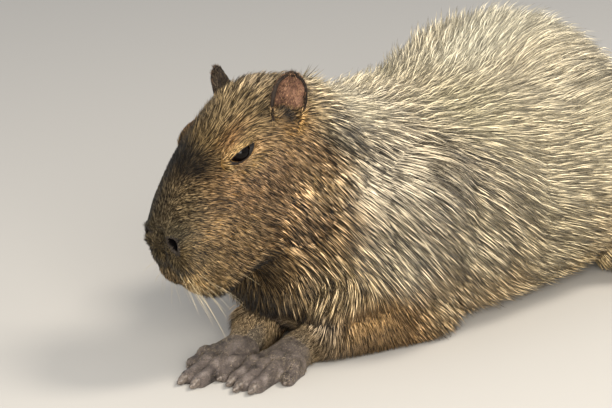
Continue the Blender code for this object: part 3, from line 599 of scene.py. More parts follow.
def lidSkin(side):
    around, steps = 72, 18
    radiusX, radiusY, radiusZ = lidForm["radii"]
    place = lidPlace(side)
    shape = bmesh.new()
    rings = []
    for i in range(-3, steps + 1):
        t = max(0.0, i / steps)
        ring = []
        for k in range(around):
            angle = 2 * math.pi * k / around
            c, s = math.cos(angle), math.sin(angle)
            tail = 1.9 if c > 0 else 1.15  # the back corner is drawn out thin
            openY = lidForm["slitHalf"] * c
            openZ = (lidForm["slitUp"] if s > 0 else lidForm["slitDown"]) * math.copysign(abs(s) ** tail, s)
            openZ += lidForm["slitRise"]
            outerY, outerZ = 0.97 * radiusY * c, 0.97 * radiusZ * s
            spread = t**0.85
            y, z = openY + (outerY - openY) * spread, openZ + (outerZ - openZ) * spread
            squeeze = min(0.985, math.hypot(y / radiusY, z / radiusZ))
            depth = radiusX * math.sqrt(1 - squeeze**2)
            folds = 0.00040 * math.sin(t * 21 + (0.4 if s > 0 else 2.2)) * (1 - t)
            folds *= math.sin(min(1, t * 4) * math.pi / 2)
            rim = 0.0007 * math.exp(-(t / 0.09) ** 2)
            depth += folds + rim
            if i < 0:  # the rim rolls in, down to the ball, and closes the corners with dark skin
                inward = -i / 3
                depth -= 0.0034 * inward**0.8 * (1 - 0.3 * abs(c))
                y *= 1 - 0.26 * inward**2
                z = lidForm["slitRise"] + (z - lidForm["slitRise"]) * (1 + 0.06 * inward)
            ring.append(shape.verts.new(place @ Vector((depth * side, y, z))))
        rings.append(ring)
    for low, high in zip(rings, rings[1:]):
        for k in range(around):
            m = (k + 1) % around
            quad = (low[k], high[k], high[m], low[m])
            shape.faces.new(quad if side > 0 else quad[::-1])
    return addObject("lids", meshOf("lids", shape))


# ---- colours of the coat, one field for skin and tufts alike

# Place in mm (in the head's frame, the body's, or along an arm: share, out, up), the fur's mean tone there
# as it looks in daylight, and how far single hairs stray from it (1 = straw hairs beside near-black ones), partly
# painted sun and shade between hairs.
# The left side, which the right one mirrors.
coatTones = {
    "head": (
        # muzzle and face
        (0, -195, -20, "#3c372e", 1.4), (20, -200, -45, "#4b412d", 1.4), (32, -180, -15, "#4a4435", 1.4),
        # (20, -112, 24) and (0, -115, 28): the bridge's dark fur, darkened further as painted shade
        (0, -165, 4, "#4e4331", 1.5), (30, -150, 0, "#68583c", 1.5), (20, -112, 24, "#181209", 1.4),
        (0, -115, 28, "#171108", 1.4), (40, -120, -15, "#987748", 1.4), (44, -170, -55, "#a58a59", 1.4),
        (44, -140, -50, "#fbcb83", 1.6), (45, -130, -80, "#fbcd86", 1.6), (36, -190, -85, "#fad18b", 1.3),
        # (0, -185, -125) and (38, -120, -130): the chin and under the jaw, dark as painted shade under the head
        (20, -200, -100, "#8a7246", 1.3), (0, -185, -125, "#2a210b", 1.2), (38, -120, -130, "#2e2311", 1.2),
        (16, -85, 30, "#695839", 1.0), (0, -60, 30, "#847151", 1.25), (25, -30, 32, "#877454", 1.15),
        (0, 15, 28, "#8c7c65", 1.0), (55, -100, -20, "#d3a05f", 1.6), (62, -60, -30, "#dcad78", 1.6),
        (66, -50, -70, "#c99e69", 1.6), (64, -90, -90, "#cea165", 1.6), (68, -10, -50, "#e9ba7e", 1.6),
        (63, -60, -112, "#be9156", 1.8), (50, -50, -140, "#5a4423", 1.3), (62, -10, 5, "#8d7858", 1.1),
        (66, 32, -50, "#c0b194", 1.3), (64, -30, -80, "#f7cf93", 1.6),
    ),
    "body": (
        # neck, shoulders and chest
        (40, -240, 300, "#d8caaa", 0.65), (0, -230, 310, "#d3c5a6", 0.6), (105, -245, 225, "#e9d6b3", 1.3),
        # (0, -330, 90): the throat and chest under the head, dark as painted shadow of the head
        (120, -250, 150, "#dec79d", 1.3), (80, -300, 110, "#ffd690", 1.6), (0, -330, 90, "#33260f", 1.1),
        (58, -322, 125, "#b08a52", 1.7), (140, -160, 220, "#9e8e71", 1.2), (160, -140, 140, "#d5c097", 1.15),
        (150, -170, 70, "#d7b987", 1.1), (100, -240, 50, "#bb9867", 1.0),
        # trunk
        (0, -100, 290, "#a8997a", 0.45), (80, -80, 280, "#a69978", 0.55), (0, 60, 300, "#aba187", 0.32),
        (90, 60, 280, "#b1a385", 0.42), (0, 200, 310, "#aea389", 0.30), (120, 180, 270, "#b1a385", 0.42),
        (180, 0, 190, "#e0cda4", 0.75), (190, 120, 180, "#e7d5ac", 0.62), (185, 0, 90, "#d7c194", 0.85),
        (190, 120, 80, "#d6bd8f", 0.75), (170, -60, 30, "#c5a776", 0.75), (170, 120, 20, "#c1a573", 0.7),
        (200, 260, 140, "#bfaa82", 0.8), (200, 260, 50, "#a68e64", 0.8), (-90, 420, 200, "#b7a683", 0.7),
        (-100, 440, 80, "#9b845d", 0.7), (205, 240, 20, "#76664f", 0.7),
    ),
    "arm": (
        # legs
        (0.50, 0, 20, "#997f5f", 1.2), (0.85, 0, 18, "#6e604f", 1.1), (0.15, 0, 30, "#d0a46f", 1.2),
    ),
}

# Smaller marks laid over that field: frame, place and reach in metres, tone, strength. Each has its mirror.
coatMarks = (
    ("head", (0.0575, -0.066, 0.0125), (0.018, 0.023, 0.0078), "#cfae6a", 0.88),  # pale lid above the eye
    ("head", (0.0580, -0.066, -0.0095), (0.018, 0.025, 0.0074), "#c9a662", 0.82),  # pale lid below it
    ("head", (0.0560, -0.092, 0.0040), (0.014, 0.006, 0.0080), "#c0a366", 0.70),
    ("head", (0.0500, -0.074, 0.0245), (0.020, 0.034, 0.0068), "#94601f", 0.88),  # rusty band over the brow
    ("head", (0.0570, -0.006, -0.0170), (0.022, 0.019, 0.0110), "#c0954a", 0.82),  # tan at the ear's base
    ("head", (0.0600, -0.090, -0.1130), (0.020, 0.030, 0.0110), "#3a2814", 0.70),  # painted shade of a fold at the jaw
    ("head", (0.0300, -0.165, -0.1280), (0.034, 0.036, 0.0160), "#1c1509", 0.92),  # shaded chin
    ("body", (0.150, -0.020, 0.262), (0.03, 0.020, 0.012), "#6f5f56", 0.45),  # greyer patches high on the flank
    ("body", (0.152, 0.075, 0.262), (0.03, 0.016, 0.010), "#6f5f56", 0.40),
)


def bothSides(table):
    # place, side, frame and the rest of each row, for the left and for its mirror
    made = []
    for frameName, rows in table.items():
        for x, y, z, *rest in rows:
            for side in (1, -1):
                at = np.array((x, y, z)) / 1000
                if frameName == "arm":
                    elbow, wrist = Vector(arms[side]["elbow"]), Vector(arms[side]["wrist"])
                    place = np.array(elbow.lerp(wrist, x)) + (at[1], 0, at[2])
                elif side < 0 and x == 0:
                    continue
                elif frameName == "head":
                    place = fromHead(at * (side, 1, 1))
                else:
                    place = at * (side, 1, 1) + (spineX(at[1]) if at[1] < 0.4 else 0, 0, 0)
                made.append((place, side, frameName, rest))
    return made


toneSoftness, lieSoftness = 0.018, 0.016


def blendWeights(rows, places, softness):
    gaps = ((rows[:, None, :] - places[None]) ** 2).sum(2) + softness**2
    weights = gaps ** -2.6
    return weights / weights.sum(1, keepdims=True)


def inParts(count, size=20000):
    return [slice(start, start + size) for start in range(0, count, size)]


# ---- coat: where it lies, how long it is and how far it stands

# place as above, lie, length mm, lift degrees, width mm
coatGuides = {
    "head": (
        # muzzle, forehead and crown: back along the top, and over to the sides
        (0, -192, -10, (0, 0.7, 0.7), 5, 20, 1.0), (30, -184, -12, (0.5, 0.8, 0.2), 6, 18, 1.0),
        (0, -160, 6, (0, 1, 0.2), 8, 20, 1.1), (22, -155, 0, (0.7, 0.6, -0.3), 8, 20, 1.1),
        (0, -115, 26, (0, 1, 0.05), 12, 24, 1.2), (26, -112, 16, (0.7, 0.7, -0.3), 11, 22, 1.2),
        (0, -60, 34, (0, 1, 0), 20, 38, 1.3), (22, -60, 28, (0.25, 1, 0), 19, 36, 1.3),
        (0, -15, 34, (0, 1, 0), 25, 46, 1.4), (30, -20, 28, (0.25, 1, 0), 20, 36, 1.4),
        # muzzle side, lips and chin
        (40, -142, -21, (0.3, 0.8, -0.5), 10, 15, 1.15), (45, -150, -45, (0.15, 0.55, -0.8), 11, 15, 1.15),
        (39, -175, -65, (0.1, 0.25, -0.95), 10, 20, 1.1), (30, -190, -90, (0.2, 0.3, -0.95), 12, 26, 1.1),
        (10, -194, -80, (0.1, 0.1, -1), 9, 22, 1.05), (42, -165, -100, (0.2, 0.4, -0.9), 15, 30, 1.1),
        (12, -180, -125, (0.1, 0.5, -0.9), 13, 36, 1.1), (32, -130, -130, (0.2, 0.9, -0.6), 16, 26, 1.25),
        # cheek and temple: the hair falls from the eye to the throat
        (44, -142, -61, (0.05, 0.3, -0.95), 13, 14, 1.2), (46, -120, -84, (0, 0.4, -0.9), 15, 14, 1.2),
        (49, -109, -45, (0.1, 0.4, -0.9), 13, 13, 1.15), (52, -84, -29, (0.2, 0.35, -0.9), 12, 13, 1.15),
        (52, -94, -69, (0.1, 0.5, -0.87), 16, 13, 1.25), (57, -64, -41, (0.1, 0.2, -0.97), 14, 13, 1.2),
        (48, -105, -3, (0.45, 0.6, -0.65), 9, 16, 1.05), (48, -70, 22, (0.3, 1, 0), 9, 18, 1.05),
        (55, -30, 4, (0.3, 0.7, -0.5), 12, 18, 1.2), (58, -34, -23, (0.2, 0.2, -0.95), 13, 14, 1.2),
        (57, -14, -19, (0.2, 0.35, -0.9), 15, 16, 1.25), (58, 0, 6, (0.2, 1, 0.1), 14, 24, 1.22),
        (62, -12, -45, (0.1, 0.2, -0.97), 20, 14, 1.3), (64, -40, -80, (0.25, 0.12, -0.95), 22, 14, 1.35),
        (63, -69, -109, (0, 0.2, -0.98), 26, 15, 1.4), (35, -110, -126, (0.3, 0.45, -0.85), 22, 20, 1.4),
        (30, -60, -148, (0.1, 0.8, -0.5), 24, 24, 1.45),
    ),
    "body": (
        # nape, shoulder and chest
        (20, -260, 300, (0.45, 1, -0.2), 28, 11, 1.35), (45, -231, 281, (0.4, 0.9, -0.3), 32, 12, 1.35),
        (77, -270, 261, (0.1, 0.8, -0.6), 32, 13, 1.4), (85, -236, 225, (0.55, 0.55, -0.6), 36, 13, 1.4),
        (83, -269, 203, (0.5, 0.5, -0.7), 36, 14, 1.4), (110, -248, 174, (0.55, 0.5, -0.65), 38, 14, 1.4),
        (95, -282, 150, (0.5, 0.5, -0.73), 36, 15, 1.4), (72, -308, 140, (0.5, 0.45, -0.72), 32, 18, 1.4),
        (57, -325, 100, (0, 0.5, -0.88), 34, 26, 1.4), (77, -296, 91, (-0.55, -0.15, -0.83), 34, 26, 1.4),
        (0, -330, 100, (0, 0.3, -0.95), 32, 26, 1.4), (60, -290, 60, (0, -0.1, -1), 28, 26, 1.3),
        (115, -164, 233, (0.7, 0.45, -0.55), 46, 14, 1.4), (139, -193, 197, (0.4, 0.6, -0.7), 44, 13, 1.4),
        (150, -189, 150, (0.15, 0.7, -0.7), 44, 13, 1.4), (130, -236, 122, (0.4, 0.55, -0.7), 40, 14, 1.4),
        (150, -170, 70, (0.05, 0.75, -0.65), 36, 15, 1.35),
        # back and flank
        (0, -130, 280, (0, 1, 0), 44, 26, 1.35), (23, -121, 272, (0.1, 1, -0.15), 44, 24, 1.35),
        (65, -118, 261, (0.25, 1, -0.2), 46, 18, 1.4), (56, -48, 257, (0.3, 1, -0.05), 48, 22, 1.4),
        (142, -83, 195, (0.4, 0.7, -0.6), 48, 13, 1.4), (156, -81, 137, (0.15, 0.75, -0.63), 46, 13, 1.4),
        (160, 32, 184, (0.15, 1, -0.05), 48, 13, 1.4), (168, 24, 113, (0.05, 1, -0.27), 46, 13, 1.4),
        (170, 10, 50, (0, 1, -0.35), 42, 12, 1.4), (0, 50, 285, (0, 1, 0.3), 50, 32, 1.4),
        (40, 57, 282, (0.15, 1, 0.3), 50, 28, 1.4), (81, 99, 281, (0.45, 0.9, 0.05), 50, 22, 1.45),
        (110, 18, 240, (0.45, 0.9, -0.15), 48, 18, 1.4), (138, 103, 240, (0.1, 1, 0.12), 48, 17, 1.4),
        (0, 200, 310, (0, 1, -0.05), 50, 25, 1.45), (100, 200, 280, (0.35, 1, -0.1), 50, 20, 1.45),
        (185, 120, 170, (0.05, 1, -0.12), 48, 13, 1.4), (185, 120, 60, (0, 1, -0.28), 44, 12, 1.4),
        (175, 100, 15, (0, 1, -0.15), 36, 12, 1.35),
        # haunch and rump
        (205, 240, 130, (0, 1, -0.4), 46, 15, 1.45), (200, 300, 60, (0, 1, -0.5), 38, 14, 1.35),
        (-60, 350, 230, (-0.2, 1, -0.45), 46, 14, 1.45), (-90, 430, 150, (-0.2, 0.55, -0.85), 44, 18, 1.45),
        (-90, 440, 60, (-0.1, 0.35, -0.95), 36, 16, 1.35),
    ),
    "arm": (
        # forelegs: short hair that falls outward, then runs to the hand
        (0.10, 0, 30, (0.35, 0.55, -0.75), 15, 16, 1.15), (0.50, 0, 22, (0.35, 0.05, -0.95), 12, 14, 1.05),
        (0.98, 0, 15, "arm", 8, 13, 0.9),
    ),
}


def guideArrays():
    spots, lies, sizes = [], [], []
    for place, side, frameName, (lie, length, lift, width) in bothSides(coatGuides):
        if lie == "arm":
            direction = np.array(arms[side]["wrist"]) - np.array(arms[side]["elbow"])
        else:
            direction = np.array(lie, float) * (side, 1, 1)
            if frameName == "head":
                direction = headRows @ direction
        spots.append(place)
        lies.append(direction / np.linalg.norm(direction))
        sizes.append((length / 1000, math.radians(lift), width / 1000))
    return np.array(spots), np.array(lies), np.array(sizes)


guideSpots, guideLies, guideSizes = guideArrays()
# Short hair shows its own tone. Long hairs shade each other, so each is paler than the coat they make.
coatGain = {
    "short": np.array((0.83, 0.755, 0.56)), "long": np.array((1.27, 1.34, 1.48)), "arm": 1.42,
    "lengths": (0.015, 0.040),
}
tonePlaces = bothSides(coatTones)
toneSpots = np.array([place for place, *_ in tonePlaces])
toneColours = np.array([
    [*[c * (coatGain["arm"] if frameName == "arm" else 1.0) for c in linear(tone)[:3]], contrast]
    for _, _, frameName, (tone, contrast) in tonePlaces
])
# the ears' tones; the hollow's tone is painted shade in the cup's recess
earTones = {"outside": "#4a4038", "inside": "#80604a", "hollow": "#2a211c", "front": "#b98c4a"}
handTone = {"tone": "#78706c", "contrast": 0.9}


def footNear(rows):
    # how far onto a foot each place is, 0 to 1, the foot's forward line and the share of its length
    near, forwardOf, shareOf = np.zeros(len(rows)), np.zeros((len(rows), 3)), np.zeros(len(rows))
    for side in (1, -1):
        for kind in ("fore", "hind"):
            heel, _, forward, across, runs = footRuns(kind, side)
            middle = sum((tip for _, tip in runs), Vector()) / len(runs)
            reach = (middle - heel).length
            away = rows - np.array(heel)
            share = away @ np.array(forward) / reach
            off = np.abs(away @ np.array(across))
            start = (-0.18, 0.16) if kind == "fore" else (0.02, 0.20)
            weight = smoothStep(share, *start) * (off < 0.050) * (share < 1.3) * (rows[:, 2] < 0.045)
            taken = weight > near
            near[taken], shareOf[taken], forwardOf[taken] = weight[taken], share[taken], np.array(forward)
    return near, forwardOf, shareOf


def earNear(rows, side):
    cup = within(rows, earPlace(side))
    inFrame = (np.abs(cup[:, 0]) < 0.026) & (np.abs(cup[:, 1]) < 0.022)
    return cup, smoothStep(cup[:, 2], 0.004, 0.010) * inFrame


def coatField(rows, normals=None):
    made, lengths = np.empty((len(rows), 4)), np.empty(len(rows))
    for part in inParts(len(rows)):
        made[part] = blendWeights(rows[part], toneSpots, toneSoftness) @ toneColours
        lengths[part] = blendWeights(rows[part], guideSpots, toneSoftness) @ guideSizes[:, 0]
    places = {"head": toHead(rows), "body": rows}

    def tint(hexColour, weight):
        made[:, :3] += (np.array(linear(hexColour)[:3]) - made[:, :3]) * weight[:, None]

    for frameName, place, reach, tone, strength in coatMarks:
        for side in (1, -1):
            tint(tone, strength * nearness(places[frameName] - np.array(place) * (side, 1, 1), reach, 1.4))
    for side in (1, -1):
        cup, onEar = earNear(rows, side)
        tint(earTones["front"], 0.75 * nearness(cup - (0, -0.012, -0.002), (0.016, 0.010, 0.012)))
        # painted shade deep in the ear's cup
        tint(earTones["hollow"], 0.9 * nearness(cup - (0, 0.003, 0.000), (0.011, 0.008, 0.012), 1.5))
        if normals is not None:
            inside = inEar(normals, side) < earForm["insideFrom"]
            tint(earTones["inside"], onEar * inside)
            tint(earTones["outside"], onEar * ~inside)
    onFoot = footNear(rows)[0]
    tint(handTone["tone"], onFoot)
    made[:, 3] += (handTone["contrast"] - made[:, 3]) * onFoot
    longShare = smoothStep(lengths, *coatGain["lengths"])[:, None]
    return made[:, :3] * (coatGain["short"] + (coatGain["long"] - coatGain["short"]) * longShare), made[:, 3]


# ---- materials

def addNode(tree, kind, links=None, **settings):
    node = tree.nodes.new("ShaderNode" + kind)
    for name, value in settings.items():
        setattr(node, name, value)
    for socket, value in (links or {}).items():
        target = node.inputs[socket]
        if isinstance(value, bpy.types.NodeSocket):
            tree.links.new(value, target)
        else:
            target.default_value = value
    return node


def newMaterial(name):
    material = bpy.data.materials.new(name)
    material.use_nodes = True
    tree = material.node_tree
    tree.nodes.clear()
    return material, tree


def objectPlace(tree):
    return addNode(tree, "TexCoord").outputs["Object"]


def noise(tree, vector, scale, detail, roughness=0.5, distortion=0.0):
    settings = {"Vector": vector, "Scale": scale, "Detail": detail, "Roughness": roughness, "Distortion": distortion}
    return addNode(tree, "TexNoise", settings).outputs


def remap(tree, value, fromLow, fromHigh, toLow, toHigh, **settings):
    ends = {"From Min": fromLow, "From Max": fromHigh, "To Min": toLow, "To Max": toHigh}
    return addNode(tree, "MapRange", {"Value": value, **ends}, **settings).outputs[0]


def shaded(tree, colour, *shades):
    # a colour times one or more shades
    shade = shades[0]
    for other in shades[1:]:
        shade = addNode(tree, "Math", {0: shade, 1: other}, operation="MULTIPLY").outputs[0]
    return addNode(tree, "VectorMath", {0: colour, "Scale": shade}, operation="SCALE").outputs["Vector"]


def ramp(tree, value, *stops):
    node = addNode(tree, "ValToRGB", {"Fac": value})
    elements = node.color_ramp.elements
    elements[0].position, elements[1].position = stops[0][0], stops[-1][0]
    for place, _ in stops[1:-1]:
        elements.new(place)
    for element, (_, tone) in zip(elements, stops):
        element.color = linear(tone)
    return node.outputs["Color"]


def relief(tree, height, strength, depth):
    bump = addNode(tree, "Bump", {"Height": height, "Strength": strength, "Distance": depth})
    return {"Normal": bump.outputs["Normal"]}


def finish(tree, colour, roughness, ior, gloss, **more):
    sockets = {"Base Color": colour, "Roughness": roughness, "IOR": ior, "Specular IOR Level": gloss, **more}
    surface = addNode(tree, "BsdfPrincipled", sockets)
    addNode(tree, "OutputMaterial", {"Surface": surface.outputs["BSDF"]})


# Capybara hair is stiff, coarse keratin: soft long highlights, darker at the root as painted shade within the coat,
# bleached at the tip
def hairMaterial(name, sheen, rootShadeLow):
    material, tree = newMaterial(name)
    tone = addNode(tree, "Attribute", attribute_name="coatTone").outputs["Color"]
    along = addNode(tree, "Attribute", attribute_name="along").outputs["Fac"]
    # Dark at the root as painted shade where the coat shades its own roots, full past the middle, bleached at the
    # tip
    rootShade = remap(tree, along, 0.0, 0.55, rootShadeLow, 1.10, interpolation_type="SMOOTHSTEP")
    # Bands along a hair, about 9 mm apart
    bandShade = remap(tree, noise(tree, objectPlace(tree), 110.0, 2.0, 0.6)["Fac"], 0.25, 0.75, 0.84, 1.16)
    colour = shaded(tree, tone, rootShade, bandShade)
    finish(tree, colour, 0.62, 1.50, 0.12, **{"Sheen Weight": sheen, "Sheen Roughness": 0.4})
    return material


# Hide under the fur: matt, and darker than the coat over it as painted shade under the hair
def hideMaterial():
    material, tree = newMaterial("furredHide")
    coords = objectPlace(tree)
    tone = addNode(tree, "Attribute", attribute_name="coatTone").outputs["Color"]
    # Under-fur grain, 2 mm, at well under the coat's tone as painted shade under the hair, and patches of 28 mm
    grain = noise(tree, coords, 480.0, 5.0, 0.65)["Fac"]
    grainAndUnderShade = remap(tree, grain, 0.3, 0.7, 0.22, 0.62)
    patchShade = remap(tree, noise(tree, coords, 36.0, 3.0)["Fac"], 0.3, 0.7, 0.85, 1.1)
    colour = shaded(tree, tone, grainAndUnderShade, patchShade)
    finish(tree, colour, 0.75, 1.45, 0.25, **relief(tree, grain, 0.6, 0.0012))
    return material


# Bare leathery skin: fine cells and wrinkles (their sizes in metres), and a dull greasy gloss
def leatherMaterial(name, tones, cell, wrinkle, roughness, depth, creaseShade=0.62, gloss=0.35):
    material, tree = newMaterial(name)
    coords = objectPlace(tree)
    # 11 mm waves bend the pattern by up to 6 mm
    warp = noise(tree, coords, 90.0, 3.0)["Color"]
    bent = addNode(tree, "VectorMath", {0: warp, 1: (0.006, 0.006, 0.006), 2: coords}, operation="MULTIPLY_ADD")
    bent = bent.outputs["Vector"]
    cells = addNode(tree, "TexVoronoi", {"Vector": bent, "Scale": 1 / cell}, feature="DISTANCE_TO_EDGE")
    cells = cells.outputs["Distance"]
    folds = noise(tree, bent, 1 / wrinkle, 4.0, 0.6)["Fac"]
    edge = remap(tree, cells, 0.0, 0.18, 0.0, 1.0)
    height = addNode(tree, "Math", {0: folds, 1: edge}, operation="ADD").outputs[0]
    # Mottled in patches of 17 mm
    mottle = noise(tree, coords, 60.0, 4.0, 0.6)["Fac"]
    mottled = ramp(tree, mottle, *zip((0.30, 0.52, 0.72), tones))
    # Darker along the cells' edges: painted shade in the creases between them
    colour = shaded(tree, mottled, remap(tree, cells, 0.0, 0.12, creaseShade, 1.0))
    finish(tree, colour, roughness, 1.45, gloss, **relief(tree, height, 0.7, depth))
    return material


# Claw horn: grey-brown keratin with 3 mm growth lines
def clawMaterial():
    material, tree = newMaterial("clawHorn")
    streaks = noise(tree, objectPlace(tree), 300.0, 3.0, 0.5, 0.4)["Fac"]
    colour = ramp(tree, streaks, (0.32, "#3a332e"), (0.70, "#756a60"))
    finish(tree, colour, 0.42, 1.55, 0.45, **relief(tree, streaks, 0.4, 0.0004))
    return material


# Eye: near-black brown iris and pupil under a wet, clear cornea
def eyeMaterial():
    material, tree = newMaterial("wetEye")
    specks = noise(tree, objectPlace(tree), 260.0, 3.0)["Fac"]
    finish(tree, ramp(tree, specks, (0.35, "#030202"), (0.75, "#0f0906")), 0.05, 1.36, 0.22)
    return material


# One plain tone, for the floor and the whiskers
def plainMaterial(name, tone, roughness, ior, gloss):
    material, tree = newMaterial(name)
    finish(tree, linear(tone), roughness, ior, gloss)
    return material


hide = hideMaterial()
# the last number: how dark the painted shade at the hairs' roots goes
bodyHair = hairMaterial("coarseGuardHair", 0.08, 0.50)
faceHair = hairMaterial("shortFaceHair", 0.03, 0.26)
# name, tones, cell, wrinkle, roughness, depth, painted shade in the creases, gloss
leathers = {name: leatherMaterial(name, *form) for name, form in {
    "handLeather": (("#2d2725", "#645a54", "#8d827b"), 0.0019, 0.0045, 0.52, 0.0014, 0.45),
    "noseLeather": (("#17130f", "#332d27", "#544c43"), 0.0009, 0.0030, 0.60, 0.0003, 0.80, 0.15),
    "earLeather": (("#33231c", "#6b4e40", "#97755f"), 0.0011, 0.0060, 0.65, 0.00040, 0.78, 0.15),
    "earRimLeather": (("#120e0c", "#241e1a", "#3a322c"), 0.0010, 0.0040, 0.65, 0.00025, 0.85, 0.12),
    "lidLeather": (("#0c0806", "#17100b", "#2a1d13"), 0.0012, 0.0024, 0.42, 0.0003),
    # the nostrils' inside: near-black painted shade in the holes
    "nostrilShade": (("#020101", "#040303", "#080605"), 0.0020, 0.0040, 0.80, 0.0001, 1.0, 0.02),
}.items()}
clawHorn = clawMaterial()
wetEye = eyeMaterial()
print("materials done")


# ---- build the skin

skin = bodySkin()
refine(skin, *skinBuild["fineFrom"])
sculptHead(skin.data)
setPlaces(skin.data, readRows(skin.data.vertices, "co"), floorGaps["skin"])
print("skin", len(skin.data.polygons), "faces")

skinSlots = (hide, *leathers.values())
hideSlot, handSlot, noseSlot, earInSlot, earOutSlot, lidSlot, nostrilShadeSlot = range(7)
for material in skinSlots:
    skin.data.materials.append(material)
slots = np.zeros(len(skin.data.polygons), np.int32)
headCentres = toHead(readRows(skin.data.polygons, "center"))
nostrilAt = np.array([v.value for v in skin.data.attributes["nostril"].data])
nostrilOf = np.array([nostrilAt[p.vertices[0]] * 0.5 + nostrilAt[p.vertices[2]] * 0.5 for p in skin.data.polygons])
slots[nostrilOf < faceForms["nostrilEdges"]["leather"]] = noseSlot
# within this reach the nostril gets the near-black painted shade
slots[nostrilOf < faceForms["nostrilEdges"]["shadedPit"]] = nostrilShadeSlot
slots[mouthReach(headCentres, (0.5, 0.5, 1))[0] < faceForms["lipBare"]] = noseSlot
setSlots(skin.data, slots)


def joinPieces(target, pieces):
    for piece in pieces:
        for material in skinSlots:
            piece.data.materials.append(material)
    with bpy.context.temp_override(active_object=target, selected_editable_objects=[target, *pieces]):
        bpy.ops.object.join()


furred, feet, rolls = [], [], []
for side in (1, -1):
    lids = lidSkin(side)
    local = within(readRows(lids.data.polygons, "center"), lidPlace(side))
    setSlots(lids.data, np.where(slitReach(local) < faceForms["lidEdges"]["leather"], lidSlot, hideSlot))
    furred.append(lids)
    for kind in ("fore", "hind"):
        feet.append(footSkin(kind, side))
        setSlots(feet[-1].data, handSlot)
    ear, roll = earSkin(side)
    spots = within(readRows(ear.data.polygons, "center"), earPlace(side))
    rim = (np.abs(spots[:, 0]) > earForm["halfWidth"] * 0.80) | (spots[:, 2] < 0.008)
    rim |= spots[:, 2] > earForm["length"] * 0.90
    facing = inEar(readRows(ear.data.polygons, "normal"), side)
    setSlots(ear.data, np.where((facing < -0.1) & ~rim, earInSlot, earOutSlot))
    feet.append(ear)
    setSlots(roll.data, earOutSlot)
    rolls.append(roll)
joinPieces(skin, furred + feet)
furSurface = skin.data.copy()  # where hair may grow, before the ears' bare margins join it
joinPieces(skin, rolls)
skin.data.shade_smooth()
skinTones = coatField(readRows(skin.data.vertices, "co"))[0]
tone = skin.data.attributes.new("coatTone", "FLOAT_COLOR", "POINT")
tone.data.foreach_set("color", np.hstack([skinTones, np.ones((len(skinTones), 1))]).astype(np.float32).ravel())
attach(skin, "root")
fleshNodes = ["head", "neck", "torso"]
for side in ("left", "right"):
    fleshNodes += [f"{part}_{side}" for part in ("foreleg", "haunch", "ear", "forefoot", "hindfoot")]
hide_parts(*fleshNodes)
print("skin joined", len(skin.data.polygons), "faces")


# ---- eyes and claws

for side, name in ((1, "left"), (-1, "right")):
    eye = Vector(faceForms["eyePlace"])
    eye.x *= side
    shape = bmesh.new()
    poleOut = Matrix.Rotation(math.radians(90), 4, "Y")
    addBall(shape, eye, [faceForms["eyeRadius"]] * 3, headFrame, poleOut, detail=(48, 32))
    for vertex in shape.verts:  # the cornea stands out a little
        out = (headFrame.inverted() @ vertex.co) - eye
        lift = max(0.0, out.x * side / faceForms["eyeRadius"] - 0.80) * 0.004
        vertex.co += (headFrame.to_3x3() @ out).normalized() * lift
    ball = addObject(f"eyeball_{name}", meshOf("eyeball", shape, True), [wetEye])
    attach(ball, "root")
    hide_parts(f"eye_{name}")
    for kind in ("fore", "hind"):
        form = footForms[kind]
        runs = footRuns(kind, side)[-1]
        shape = bmesh.new()
        for root, tip in runs:
            along = (tip - root).normalized()
            half, rise, claw = form["toeHalf"], form["toeRise"], form["claw"]
            rows = [
                (*(tip - along * claw * back + Vector((0, 0, lift))), half * wide, rise * high, drop, power)
                for back, lift, wide, high, drop, power in (
                    (1.05, 0.0012, 0.60, 0.40, 0.006, 2.4),
                    (0.60, 0.0012, 0.58, 0.42, 0.006, 2.4),
                    (0.20, 0, 0.46, 0.30, 0.0052, 2.2),
                    (0, 0, 0.24, 0.14, 0.0040, 2.0),
                )
            ]
            addLoft(shape, rows, sides=18, steps=4, caps=(0.003, 0.003))
        bmesh.ops.recalc_face_normals(shape, faces=shape.faces[:])
        for vertex in shape.verts:
            vertex.co.z = max(floorGaps["claws"], vertex.co.z)
        claws = addObject(f"claws_{kind}_{name}", meshOf("claws", shape, True), [clawHorn])
        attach(claws, "root")
        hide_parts(*[f"claw_{kind}foot_{name}_{k + 1}" for k in range(len(runs))])
print("eyes and claws done")


# ---- coat: tufts grown on the furred skin

# length, lift and width of the shortest hairs
shortHairs = {
    "lid": (0.0058, math.radians(14), 0.00085),
    "ear": (0.0055, math.radians(20), 0.00070),
    "hand": (0.0050, math.radians(12), 0.00080),
}
coatBuild = {
    "triangles": 1430000,
    "pieceTriangles": 190000,
    "layers": 6.0,  # how many tufts deep the coat lies, before the triangle budget
    "faceShare": 1.15,  # the face has this much more of it
    "earThinning": (0.62, 0.78),  # what the backs of the ears and their cups lose
    "handThinning": ((0, 0.5, 0.95), (0.62, 0.80, 0.97)),  # along a foot's length
    "lengthSpread": (0.72, 1.22),
    "liftSpread": (0.55, 1.35),
    "widthSpread": (0.75, 1.25),
    "strays": {"share": 0.10, "length": 1.18, "lift": 1.7, "more": 0.10, "steepest": 1.05, "width": 0.7},
    "earFrontLength": 0.0085,
    "clearance": (0.16, 0.10),  # of a hair's length, between its tip and the skin
    "yaw": (3, 3.5),  # degrees a tuft may turn from the lie, on the face and in the long coat
    "clump": (0.05, 0.14),  # how far a tuft leans to its streak's leader, there and there
    "toneRange": 4.0,  # spread of the hairs' tones, as a logarithm, where the contrast is 1; partly painted sun and shade between hairs
    "streakShare": 0.15,  # of that spread, the part that a whole streak has in common
    "palest": 0.82,  # the highest channel that a bleached hair may reach
    "streakTufts": 14,
    "bendFrom": 0.020,  # hairs longer than this may bend, and this share of them does
    "bentShare": 0.20,
    "tuftTriangles": {1: 4, 2: 10},  # by rings
    "ringsAt": {1: ((0.0, 1.0),), 2: ((0.0, 0.80), (0.52, 0.95))},  # share of the length, share of the width
    "droop": (0.42, 0.05),  # of a tuft's tip, towards the skin (for its lift) and down
    "bakePatch": 0.0030,  # size of a tuft on the unwrap
}


